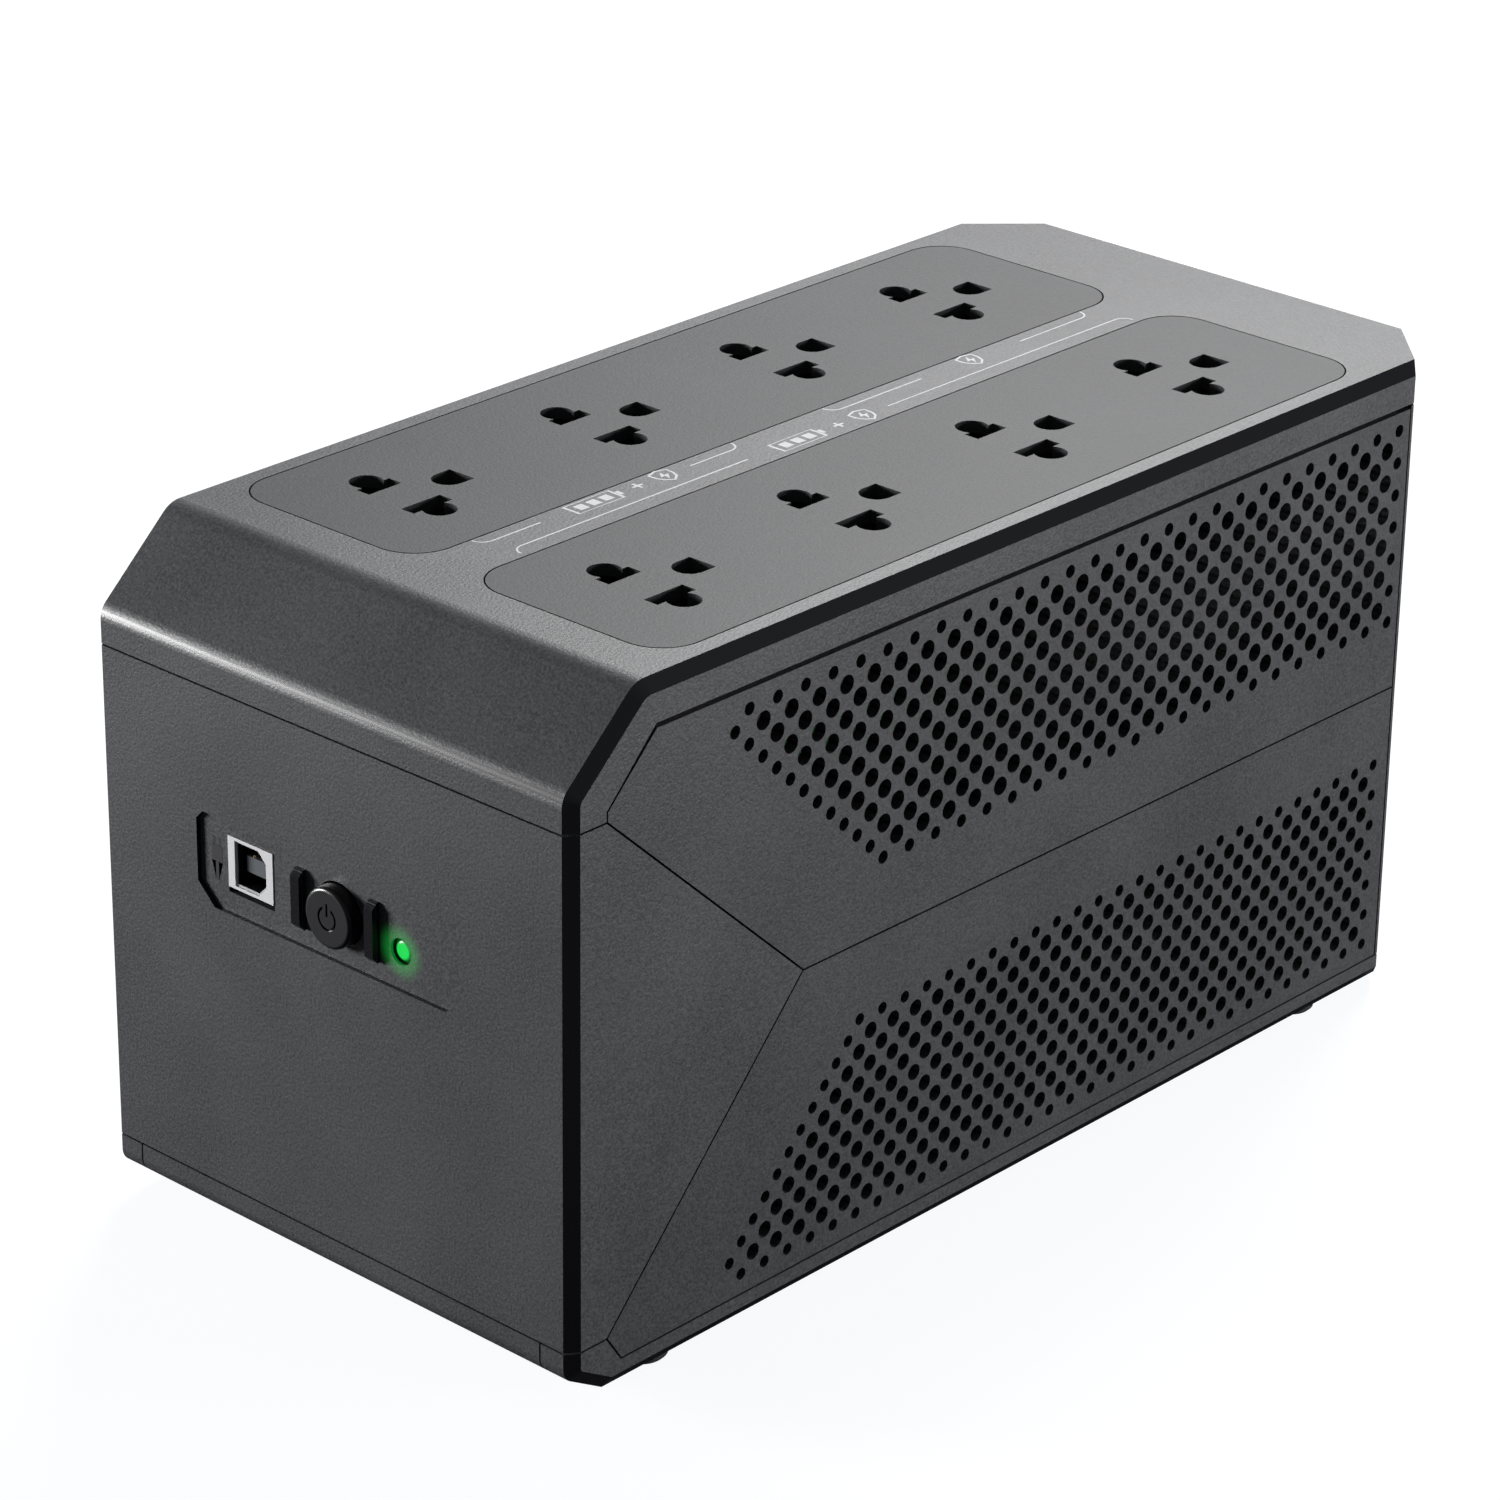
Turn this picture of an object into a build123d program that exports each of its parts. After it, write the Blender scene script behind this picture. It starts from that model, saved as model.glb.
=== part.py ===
from build123d import *
import math
import os

os.makedirs("parts", exist_ok=True)

# Uninterruptible power supply, in millimetres. The origin is the middle of the footprint, power
# button included, at the level the rubber feet stand on. +Z is up, the control panel faces -Y
# and +X is to the right of it.

# ------------------------------------------------------------------ case
WIDTH = 122.5
LENGTH = 254.0
CASE_HEIGHT = 136.2        # underside of the base to the top face, without the feet
FOOT_PROUD = 2.0
WALL = 2.5
LIP = 1.6                  # backing lip moulded behind each seam
LIP_LAP = 5.0              # how far a lip reaches behind its neighbour
SEAM = 0.4
SHADOW_GAP = 1.0           # wider gap between the side grilles and the top cover
BEVEL_ACROSS = 1.9         # edge bevel, measured across the width
BEVEL_IN = 2.6             # edge bevel, measured in the side face
REAR_CORNER = 14.4         # plan chamfer of both rear corners

SLOPE_RUN = 17.8           # front slope of the top cover, seen from the side
SLOPE_DROP = 16.4
SLOPE_TOP_ROUND = 6.0
SLOPE_FOOT_ROUND = 4.5
CHIN_RUN = 9.8             # undercut below the front face
CHIN_RISE = 5.7
CHIN_ROUND = 3.4

FRONT_LOW = 11.0           # front panel, heights above the underside of the base
FRONT_HIGH = 113.0
WING_ROOT = 9.2            # where the front panel's side wings start, behind the front face
WING_TIP = 60.2
WING_TIP_HEIGHT = 66.5
SHOULDER_LOW = 115.0       # start of the side grilles' sloped front edge
SHOULDER_RUN = 21.4
SIDE_HIGH = 127.7
SIDE_LOW = 5.5
SIDE_LOW_START = 12.9
SIDE_END = 238.7           # rear edge of the side grilles

# ------------------------------------------------------------------ side perforations
UPPER_FIRST = (44.9, 123.1)    # first hole of the row at the zone's long straight edge
UPPER_PITCH = (3.66, -3.44)    # step to the next hole of the staggered grid
UPPER_RADII = (1.85, 1.3)      # inner holes, border holes
LOWER_FIRST = (44.5, 9.8)
LOWER_PITCH = (3.155, 3.4)
LOWER_RADII = (1.65, 1.2)
PERFORATED_ROWS = 13
PERFORATION_MARGIN = 3.0       # least distance from a hole's centre to the grille's rear edge

# ------------------------------------------------------------------ outlets
ROW_X = 30.9               # middle of each outlet row
OUTLET_DEPTHS = (49.8, 100.3, 150.9, 198.9)
PANEL_WIDTH = 48.8
PANEL_START = 29.2
PANEL_END = 229.6
PANEL_CORNER = 9.0
PANEL_THICK = 2.5
PANEL_GAP = 0.35
LEDGE = 3.0
SLOT_X = 6.35              # blade slot and round hole of a pole, from the outlet's middle
SLOT_WIDTH = 3.4
NEUTRAL_SLOT = 8.4
LINE_SLOT = 9.9
PIN_X = 9.8
PIN_RADIUS = 3.3
EARTH_RADIUS = 3.3
EARTH_Y = 11.8
EARTH_FLAT = 15.3

# ------------------------------------------------------------------ control panel
RECESS_X = 34.7
RECESS_LOW = 69.0
RECESS_HIGH = 87.7
RECESS_DEPTH = 1.0
RECESS_CUT = (4.4, 4.2)    # its lower corners, cut off across and up
RECESS_NICK = 1.8          # its upper corners
BUTTON_X = 2.1
BUTTON_HEIGHT = 78.4
BUTTON_RADIUS = 6.0
BUTTON_PROUD = 2.0
BUTTON_TRAVEL = 1.5
RUN_GAP = 0.3              # clearance round moving pieces
USB_X = -21.1
USB_HEIGHT = 79.4
USB_WIDTH = 12.0
USB_TALL = 10.4
USB_DEEP = 16.5
LED_X = 18.1
LED_HEIGHT = 76.3
LED_RADIUS = 2.5
BOARD_THICK = 1.6

# ------------------------------------------------------------------ battery and its door
BATTERY = (65.0, 151.0, 94.0)
BATTERY_X = -14.0
BATTERY_START = 32.0
PAD_THICK = 1.0
BAY_WALL = 2.0
DOOR_HALF = 34.0           # half width of the floor opening that the battery passes
DOOR_END = 186.0
DOOR_FLANGE = 4.0
DOOR_FLANGE_THICK = 1.6
DOOR_LIP_HALF = 53.7
BOARD_WALL_HEIGHT = 97.0

# ------------------------------------------------------------------ transformer
CORE = (84.0, 34.0, 70.0)
CORE_DEPTH = 213.5
CORE_FLOOR = 8.0
LIMB = 14.0
COIL_BULGE = 10.0

# ------------------------------------------------------------------ rear
POCKET_X = (-45.0, -9.0)
POCKET_HEIGHTS = (78.0, 117.0)
POCKET_DEEP = 3.0
FAN_SIZE = 50.0
FAN_DEEP = 15.0
FAN_LID_GAP = 9.7          # from the top of the fan up to the edge of the top cover
FAN_BORE = 23.5
FAN_SCREW_PITCH = 40.0
FAN_HUB = 11.0
BLADES = 7
SPINDLE = 1.5
SPINDLE_GAP = 0.05
INLET_HEIGHT = 104.0
INLET_BODY = (27.0, 20.0)
INLET_CAVITY = (24.2, 16.4)
INLET_CAVITY_DEEP = 15.5
INLET_DEEP = 24.0
BREAKER_HEIGHT = 86.0
BREAKER_RADIUS = 3.0

# ------------------------------------------------------------------ feet and fastenings
FOOT_RADIUS = 5.0
FOOT_SOCKET = 1.0
FOOT_X = 53.7
FOOT_DEPTHS = (26.0, 220.0)
PILLAR_RADIUS = 4.0
SHANK = 1.5
HEAD = 2.8
HEAD_THICK = 2.0
REAR_PILLAR = (50.0, 236.0)
PILLAR_GAP = 1.0           # from a rear pillar to the fan
FRONT_PILLAR = (30.0, 24.6)    # from the battery's centre line, behind the front face


def back(depth):
    """Y of a point that lies depth behind the front face."""
    return depth - (LENGTH - BUTTON_PROUD) / 2


def up(height):
    """Z of a point that lies height above the underside of the base."""
    return height + FOOT_PROUD


def block(x, y, z, mode=Mode.ADD):
    """Box between the two values given for each axis, in the part being built."""
    with Locations(((x[0] + x[1]) / 2, (y[0] + y[1]) / 2, (z[0] + z[1]) / 2)):
        Box(abs(x[1] - x[0]), abs(y[1] - y[0]), abs(z[1] - z[0]), mode=mode)


def around(middle, size):
    """The two ends of a length that is centred on middle."""
    return (middle - size / 2, middle + size / 2)


def peg(x, y, z, radius, mode=Mode.ADD):
    """Upright cylinder between two heights."""
    with Locations((x, y, (z[0] + z[1]) / 2)):
        Cylinder(radius, abs(z[1] - z[0]), mode=mode)


def rod(x, y, z, radius, mode=Mode.ADD):
    """Cylinder along Y between two values of y."""
    with Locations(Location((x, (y[0] + y[1]) / 2, z), (90, 0, 0))):
        Cylinder(radius, abs(y[1] - y[0]), mode=mode)


def stud(x, y, z, radius, mode=Mode.ADD):
    """Cylinder along X between two values of x."""
    with Locations(Location(((x[0] + x[1]) / 2, y, z), (0, 90, 0))):
        Cylinder(radius, abs(x[1] - x[0]), mode=mode)


def save(piece, name):
    """Label a finished piece and write it."""
    piece.part.label = name
    export_step(piece.part, f"parts/{name}.step")


# ------------------------------------------------------------------ forms shared by the mouldings
def side_outline(x, inset):
    """Side view of the case on the plane at x, drawn inset inside the real outline."""
    low = up(0)
    high = up(CASE_HEIGHT)
    front = back(0)
    kink = (front, high - SLOPE_DROP)
    crown = (back(SLOPE_RUN), high)
    chin = (front, up(CHIN_RISE))
    with BuildSketch(Plane.YZ.offset(x)) as outline:
        with BuildLine():
            Polyline(
                kink, crown, (back(LENGTH), high), (back(LENGTH), low), (back(CHIN_RUN), low), chin,
                close=True,
            )
        make_face()
        for corner, radius in ((kink, SLOPE_FOOT_ROUND), (crown, SLOPE_TOP_ROUND), (chin, CHIN_ROUND)):
            fillet(outline.vertices().sort_by_distance(corner)[0], radius)
        if inset:
            offset(amount=-inset, kind=Kind.INTERSECTION)
    return outline.sketch


def plan_block(inset):
    """Upright block with the plan outline of the case, chamfered at both rear corners."""
    half = WIDTH / 2 - inset
    end = back(LENGTH) - inset
    corner = REAR_CORNER - inset * (2 - math.sqrt(2))
    with BuildPart() as plan:
        with BuildSketch():
            with BuildLine():
                Polyline(
                    (-half, back(inset)), (half, back(inset)), (half, end - corner),
                    (half - corner, end), (corner - half, end), (-half, end - corner), close=True,
                )
            make_face()
        extrude(amount=up(CASE_HEIGHT) + WALL)
    return plan.part


def case_form(inset, bevelled=False):
    """Solid with the outer form of the case, every face moved inwards by inset."""
    half = WIDTH / 2 - inset
    flank = half - BEVEL_ACROSS if bevelled else half
    with BuildPart() as form:
        extrude(to_extrude=side_outline(-flank, inset), amount=2 * flank)
        if bevelled:
            for side in (-1, 1):
                loft(
                    sections=[side_outline(side * flank, inset), side_outline(side * half, inset + BEVEL_IN)],
                    ruled=True,
                )
        add(plan_block(inset), mode=Mode.INTERSECT)
    return form.part


def slab(points, grow=0.0):
    """Block through the whole width whose side view is the outline of (depth, height) points."""
    with BuildPart() as region:
        with BuildSketch(Plane.YZ.offset(-WIDTH)):
            with BuildLine():
                Polyline(*[(back(depth), up(height)) for depth, height in points], close=True)
            make_face()
            if grow:
                offset(amount=grow, kind=Kind.INTERSECTION)
        extrude(amount=2 * WIDTH)
    return region.part


OUTSIDE = 20.0             # how far a region runs past the case
wing_low = (WING_ROOT, FRONT_LOW)
wing_tip = (WING_TIP, WING_TIP_HEIGHT)
wing_high = (WING_ROOT, FRONT_HIGH)
shoulder = (WING_ROOT, SHOULDER_LOW)
crown_edge = (SHOULDER_RUN, SIDE_HIGH)
FRONT_REGION = [(-OUTSIDE, FRONT_LOW), wing_low, wing_tip, wing_high, (-OUTSIDE, FRONT_HIGH)]
COVER_REGION = [
    (-OUTSIDE, FRONT_HIGH), wing_high, shoulder, crown_edge, (LENGTH + OUTSIDE, SIDE_HIGH),
    (LENGTH + OUTSIDE, CASE_HEIGHT + OUTSIDE), (-OUTSIDE, CASE_HEIGHT + OUTSIDE),
]
grille_high = SIDE_HIGH - SHADOW_GAP + SEAM
UPPER_REGION = [
    wing_high, shoulder, (SHOULDER_RUN, grille_high), (SIDE_END, grille_high), (SIDE_END, WING_TIP_HEIGHT),
    wing_tip,
]
LOWER_REGION = [
    wing_tip, (SIDE_END, WING_TIP_HEIGHT), (SIDE_END, SIDE_LOW), (SIDE_LOW_START, SIDE_LOW), wing_low,
]
REAR_REGION = [
    (SIDE_END, SIDE_LOW), (LENGTH + OUTSIDE, SIDE_LOW), (LENGTH + OUTSIDE, SIDE_HIGH), (SIDE_END, SIDE_HIGH),
]
BASE_REGION = [
    (-OUTSIDE, FRONT_LOW), wing_low, (SIDE_LOW_START, SIDE_LOW), (LENGTH + OUTSIDE, SIDE_LOW),
    (LENGTH + OUTSIDE, -OUTSIDE), (-OUTSIDE, -OUTSIDE),
]

with BuildPart() as outer_skin:
    add(case_form(0, bevelled=True))
    add(case_form(WALL), mode=Mode.SUBTRACT)

with BuildPart() as inner_layer:
    add(case_form(WALL))
    add(plan_block(WALL + LIP), mode=Mode.SUBTRACT)


def skin(region):
    """The outer wall inside a region, half a seam back from the region's edge."""
    with BuildPart() as wall:
        add(outer_skin.part)
        add(slab(region, -SEAM / 2), mode=Mode.INTERSECT)
    return wall.part


def lip(points):
    """The backing layer inside a region, which its owner and its neighbour both lie against."""
    with BuildPart() as layer:
        add(inner_layer.part)
        add(slab(points), mode=Mode.INTERSECT)
    return layer.part


def wing_edge(height):
    """Depth of the front panel's diagonal side seam at a height."""
    reach = FRONT_HIGH if height > WING_TIP_HEIGHT else FRONT_LOW
    share = (height - reach) / (WING_TIP_HEIGHT - reach)
    return WING_ROOT + share * (WING_TIP - WING_ROOT)


FAR = LENGTH + OUTSIDE
LIP_REACH = 1.3 * LIP_LAP  # lap measured along the depth where a seam runs at a slant
lip_top = FRONT_HIGH - LIP_LAP - SEAM
lip_bottom = FRONT_LOW + LIP_LAP + SEAM
COVER_LIP = [
    (-OUTSIDE, FRONT_HIGH + LIP_LAP), (-OUTSIDE, FRONT_HIGH - LIP_LAP),
    (WING_ROOT + LIP_LAP, FRONT_HIGH - LIP_LAP), (SHOULDER_RUN + LIP_LAP, SIDE_HIGH - LIP_LAP),
    (FAR, SIDE_HIGH - LIP_LAP), (FAR, SIDE_HIGH + LIP_LAP),
    (SHOULDER_RUN, SIDE_HIGH + LIP_LAP),
]
BASE_LIP = [
    (-OUTSIDE, 0), (-OUTSIDE, FRONT_LOW + LIP_LAP), (WING_ROOT + LIP_LAP, FRONT_LOW + LIP_LAP),
    (SIDE_LOW_START + LIP_LAP, SIDE_LOW + LIP_LAP), (FAR, SIDE_LOW + LIP_LAP), (FAR, 0),
]
WING_LIP = [
    (WING_ROOT, lip_top), (wing_edge(lip_top) + LIP_REACH, lip_top), (WING_TIP + LIP_REACH, WING_TIP_HEIGHT),
    (wing_edge(lip_bottom) + LIP_REACH, lip_bottom), (WING_ROOT, lip_bottom),
]
GRILLE_LIP = [
    (WING_TIP + LIP_REACH + SEAM, WING_TIP_HEIGHT - LIP_LAP),
    (SIDE_END - LIP_LAP - SEAM, WING_TIP_HEIGHT - LIP_LAP),
    (SIDE_END - LIP_LAP - SEAM, WING_TIP_HEIGHT + LIP_LAP),
    (WING_TIP + LIP_REACH + SEAM, WING_TIP_HEIGHT + LIP_LAP),
]
REAR_LIP = [
    (SIDE_END - LIP_LAP, SIDE_LOW + LIP_LAP + SEAM), (SIDE_END + LIP_LAP, SIDE_LOW + LIP_LAP + SEAM),
    (SIDE_END + LIP_LAP, SIDE_HIGH - LIP_LAP - SEAM), (SIDE_END - LIP_LAP, SIDE_HIGH - LIP_LAP - SEAM),
]

INNER_FRONT = back(WALL)
INNER_REAR = back(LENGTH - WALL)
FLOOR = up(WALL)
CEILING = up(CASE_HEIGHT - WALL)

# the battery bay, shared by the base, the door and the battery
bay_x = around(BATTERY_X, BATTERY[0] + 2 * PAD_THICK)
bay_y = (back(BATTERY_START - PAD_THICK), back(BATTERY_START + BATTERY[1] + PAD_THICK))
flange_half = DOOR_HALF + DOOR_FLANGE
flange_z = (FLOOR + RUN_GAP, FLOOR + RUN_GAP + DOOR_FLANGE_THICK)
channel_z = (FLOOR, flange_z[1] + RUN_GAP)
shelf_z = (channel_z[1], channel_z[1] + BAY_WALL)
channel_half = flange_half + RUN_GAP
shelf_half = channel_half + BAY_WALL
shelf_front = back(FRONT_PILLAR[1]) - PILLAR_RADIUS - BAY_WALL
lip_depth = CHIN_RUN + SEAM / 2
rear_pillars = [(side * REAR_PILLAR[0], back(REAR_PILLAR[1])) for side in (-1, 1)]
front_pillars = [(BATTERY_X + side * FRONT_PILLAR[0], back(FRONT_PILLAR[1])) for side in (-1, 1)]
rear_boss_top = FLOOR + 8.0
front_boss_top = shelf_z[1] + 4.0

# ------------------------------------------------------------------ base tray
core_y = around(back(CORE_DEPTH), CORE[1])
core_z = (up(CORE_FLOOR), up(CORE_FLOOR + CORE[2]))
strap_half = CORE[0] / 2
strap_width = CORE[1] - 8.0
STRAP_THICK = 1.2
STRAP_FOOT = 11.0
strap_holes = [
    (side * (strap_half + STRAP_THICK + STRAP_FOOT / 2), back(CORE_DEPTH) + end * 7.0)
    for side in (-1, 1) for end in (-1, 1)
]

with BuildPart() as base_tray:
    add(skin(BASE_REGION))
    add(lip(BASE_LIP))
    # mouth that the battery door's front lip fills
    block(
        around(0, 2 * DOOR_LIP_HALF), (back(-OUTSIDE), back(lip_depth)),
        (up(-OUTSIDE), up(FRONT_LOW + 2 * LIP_LAP)), mode=Mode.SUBTRACT,
    )
    block(
        around(BATTERY_X, 2 * DOOR_HALF), (back(0), back(DOOR_END)), (up(-1), flange_z[0]),
        mode=Mode.SUBTRACT,
    )
    block(around(BATTERY_X, 2 * channel_half), (back(0), shelf_front), channel_z, mode=Mode.SUBTRACT)
    # shelf over the door's flange, and the walls round the battery
    block(
        around(BATTERY_X, 2 * shelf_half), (shelf_front, back(DOOR_END) + RUN_GAP + BAY_WALL),
        (FLOOR, shelf_z[1]),
    )
    block(
        around(BATTERY_X, 2 * channel_half), (shelf_front, back(DOOR_END) + RUN_GAP), channel_z,
        mode=Mode.SUBTRACT,
    )
    block(
        (bay_x[0] - BAY_WALL, bay_x[1] + BAY_WALL), (bay_y[0] - BAY_WALL, bay_y[1] + BAY_WALL),
        (shelf_z[0], up(40)),
    )
    block((bay_x[1], bay_x[1] + BAY_WALL), (bay_y[0], bay_y[1]), (shelf_z[0], up(BOARD_WALL_HEIGHT)))
    block(bay_x, bay_y, (shelf_z[0], up(CASE_HEIGHT)), mode=Mode.SUBTRACT)
    # transformer seat
    block(around(0, CORE[0] - 8), core_y, (FLOOR, core_z[0]))
    for x, y in strap_holes:
        peg(x, y, (FLOOR, core_z[0]), 4.5)
        peg(x, y, (FLOOR, core_z[0]), SHANK, mode=Mode.SUBTRACT)
    # screw bosses
    for x, y in rear_pillars:
        peg(x, y, (FLOOR, rear_boss_top), PILLAR_RADIUS + 1)
        peg(x, y, (up(0), rear_boss_top), SHANK, mode=Mode.SUBTRACT)
        peg(x, y, (up(0), up(HEAD_THICK)), HEAD, mode=Mode.SUBTRACT)
    for x, y in front_pillars:
        peg(x, y, (shelf_z[0], front_boss_top), PILLAR_RADIUS + 1)
        peg(x, y, (shelf_z[0], front_boss_top), SHANK, mode=Mode.SUBTRACT)
        peg(x, y, (shelf_z[0], shelf_z[0] + HEAD_THICK), HEAD, mode=Mode.SUBTRACT)
    for side in (-1, 1):
        for depth in FOOT_DEPTHS:
            peg(side * FOOT_X, back(depth), (up(0), up(FOOT_SOCKET)), FOOT_RADIUS, mode=Mode.SUBTRACT)
save(base_tray, "base_tray")

with BuildPart() as rubber_feet:
    for side in (-1, 1):
        for depth in FOOT_DEPTHS:
            peg(side * FOOT_X, back(depth), (0, up(FOOT_SOCKET)), FOOT_RADIUS)
    chamfer(rubber_feet.edges().filter_by(GeomType.CIRCLE).group_by(Axis.Z)[0], 0.6)
save(rubber_feet, "rubber_feet")

# ------------------------------------------------------------------ battery door
with BuildPart() as battery_door:
    add(skin(BASE_REGION))
    block(around(0, 4 * WIDTH), (back(lip_depth - SEAM), back(2 * LENGTH)), (up(-OUTSIDE), up(CASE_HEIGHT)),
          mode=Mode.SUBTRACT)
    for side in (-1, 1):
        block(
            (side * (DOOR_LIP_HALF - SEAM), side * WIDTH), (back(-OUTSIDE), back(LENGTH)),
            (up(-OUTSIDE), up(CASE_HEIGHT)), mode=Mode.SUBTRACT,
        )
    block(
        around(BATTERY_X, 2 * (DOOR_HALF - RUN_GAP)), (back(lip_depth - SEAM), back(DOOR_END) - RUN_GAP),
        (up(0), flange_z[1]),
    )
    block(around(BATTERY_X, 2 * flange_half), (back(lip_depth - SEAM - 2), back(DOOR_END)), flange_z)
    # grip grooves across the underside, beside the lip
    for step in range(5):
        with Locations(Location((0, back(CHIN_RUN + 8 + 3.0 * step), up(0)), (0, 90, 0))):
            Cylinder(0.8, 24, mode=Mode.SUBTRACT)
save(battery_door, "battery_door")

# ------------------------------------------------------------------ front panel
switch_board_front = back(0.8 + USB_DEEP)
post_x = (-31.0, 27.0)
post_heights = (RECESS_LOW - 0.5, RECESS_HIGH + 1.8)
posts = [(x, up(height)) for x in post_x for height in post_heights]
POST_RADIUS = 2.6
SCREW_PILOT = 1.0
recess_floor = back(RECESS_DEPTH)
GUARD_X = 9.6
GUARD_WIDTH = 2.2
GUARD_LENGTH = 12.0
GUARD_PROUD = 1.9

with BuildPart() as front_panel:
    add(skin(FRONT_REGION))
    add(lip(WING_LIP))
    # recess of the control panel
    with BuildSketch(Plane.XZ.offset(-recess_floor)):
        with BuildLine():
            Polyline(
                (-RECESS_X, up(RECESS_LOW + RECESS_CUT[1])), (-RECESS_X + RECESS_CUT[0], up(RECESS_LOW)),
                (RECESS_X - RECESS_CUT[0], up(RECESS_LOW)), (RECESS_X, up(RECESS_LOW + RECESS_CUT[1])),
                (RECESS_X, up(RECESS_HIGH - RECESS_NICK)), (RECESS_X - RECESS_NICK, up(RECESS_HIGH)),
                (-RECESS_X + RECESS_NICK, up(RECESS_HIGH)), (-RECESS_X, up(RECESS_HIGH - RECESS_NICK)),
                close=True,
            )
        make_face()
    extrude(amount=OUTSIDE, mode=Mode.SUBTRACT)
    for x, z in posts:
        rod(x, (INNER_FRONT, switch_board_front), z, POST_RADIUS)
        rod(x, (INNER_FRONT + 4, switch_board_front), z, SCREW_PILOT, mode=Mode.SUBTRACT)
    rod(BUTTON_X, (back(-1), back(WALL + 1)), up(BUTTON_HEIGHT), BUTTON_RADIUS + RUN_GAP, mode=Mode.SUBTRACT)
    rod(LED_X, (back(-1), back(WALL + 1)), up(LED_HEIGHT), LED_RADIUS + 0.15, mode=Mode.SUBTRACT)
    block(
        around(USB_X, USB_WIDTH + 0.3), (back(-1), back(WALL + 1)),
        (up(USB_HEIGHT - USB_TALL / 2 - 1.2), up(USB_HEIGHT + USB_TALL / 2 + 0.15)), mode=Mode.SUBTRACT,
    )
    # guard ribs on both sides of the button
    for side in (-1, 1):
        with BuildSketch(Plane.XZ.offset(-recess_floor)):
            with Locations((BUTTON_X + side * GUARD_X, up(BUTTON_HEIGHT))):
                Rectangle(GUARD_WIDTH, GUARD_LENGTH)
        extrude(amount=GUARD_PROUD)
    guards = front_panel.faces().filter_by(Axis.Y).sort_by(Axis.Y)[:2]
    chamfer(guards.edges().filter_by(Axis.X), 1.2)
save(front_panel, "front_panel")

# ------------------------------------------------------------------ control panel parts
button_face = back(-BUTTON_PROUD)
BUTTON_FLANGE = 1.2
button_flange_y = (INNER_FRONT + RUN_GAP, INNER_FRONT + RUN_GAP + BUTTON_FLANGE)
SWITCH_SIZE = 8.0
switch_y = (switch_board_front - 7.0, switch_board_front)
PLUNGER = 3.0
STEM_GAP = 0.1             # slack between the button's stem and the plunger
plunger_front = switch_y[0] - BUTTON_TRAVEL - RUN_GAP
button_z = up(BUTTON_HEIGHT)

with BuildPart() as power_button:
    rod(BUTTON_X, (button_face, button_flange_y[1]), button_z, BUTTON_RADIUS)
    fillet(power_button.edges().group_by(Axis.Y)[0], 0.8)
    rod(BUTTON_X, button_flange_y, button_z, BUTTON_RADIUS + 1.2)
    rod(BUTTON_X, (button_flange_y[1], plunger_front - STEM_GAP), button_z, 2.0)
    # power symbol sunk into the face
    with BuildSketch(Plane.XZ.offset(-button_face)):
        with Locations((BUTTON_X, button_z)):
            Circle(2.4)
            Circle(1.9, mode=Mode.SUBTRACT)
        with Locations((BUTTON_X, button_z + 2.2)):
            Rectangle(2.0, 2.4, mode=Mode.SUBTRACT)
        with Locations((BUTTON_X, button_z + 1.7)):
            Rectangle(0.5, 2.6)
    extrude(amount=-0.35, mode=Mode.SUBTRACT)
save(power_button, "power_button")

with BuildPart() as switch_body:
    block(around(BUTTON_X, SWITCH_SIZE), switch_y, around(button_z, SWITCH_SIZE))
    block(
        around(BUTTON_X, PLUNGER + 2 * RUN_GAP), (switch_y[0], switch_y[1] - 1),
        around(button_z, PLUNGER + 2 * RUN_GAP), mode=Mode.SUBTRACT,
    )
save(switch_body, "switch_body")

with BuildPart() as switch_plunger:
    block(
        around(BUTTON_X, PLUNGER), (plunger_front, switch_y[1] - 1 - RUN_GAP - BUTTON_TRAVEL),
        around(button_z, PLUNGER),
    )
save(switch_plunger, "switch_plunger")

SPRING_WIRE = 0.25
SPRING_RADIUS = 3.4
SPRING_TURNS = 4
spring_y = (button_flange_y[1] + SPRING_WIRE, switch_y[0] - SPRING_WIRE)

with BuildPart() as button_spring:
    with BuildLine() as coil:
        Helix(
            pitch=(spring_y[1] - spring_y[0]) / SPRING_TURNS, height=spring_y[1] - spring_y[0],
            radius=SPRING_RADIUS, center=(BUTTON_X, spring_y[0], button_z), direction=(0, 1, 0),
        )
    with BuildSketch(Plane(origin=coil.line @ 0, z_dir=coil.line % 0)):
        Circle(SPRING_WIRE)
    sweep(path=coil.line)
save(button_spring, "button_spring")

usb_z = up(USB_HEIGHT)
usb_front = back(0.8)
USB_CAVITY = (8.4, 7.6)
USB_TONGUE = (5.4, 3.2)
USB_CAVITY_DEEP = 9.0
USB_SHELL = 0.4


def usb_outline(depth, width, tall, corner):
    """Square USB type B outline with its two upper corners cut off, facing the front."""
    half = width / 2
    with BuildSketch(Plane(origin=(USB_X, depth, usb_z), z_dir=(0, -1, 0))) as outline:
        with BuildLine():
            Polyline(
                (-half, -tall / 2), (half, -tall / 2), (half, tall / 2 - corner), (half - corner, tall / 2),
                (corner - half, tall / 2), (-half, tall / 2 - corner), close=True,
            )
        make_face()
    return outline.sketch


usb_sleeve = (USB_CAVITY[0] + 2 * USB_SHELL, USB_CAVITY[1] + 2 * USB_SHELL, 2.1)
usb_seat = usb_front + 0.4

with BuildPart() as usb_shell:
    block(around(USB_X, USB_WIDTH), (usb_front, switch_board_front), around(usb_z, USB_TALL))
    extrude(to_extrude=usb_outline(usb_front, *usb_sleeve), amount=-(USB_DEEP - 1), mode=Mode.SUBTRACT)
save(usb_shell, "usb_shell")

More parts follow.
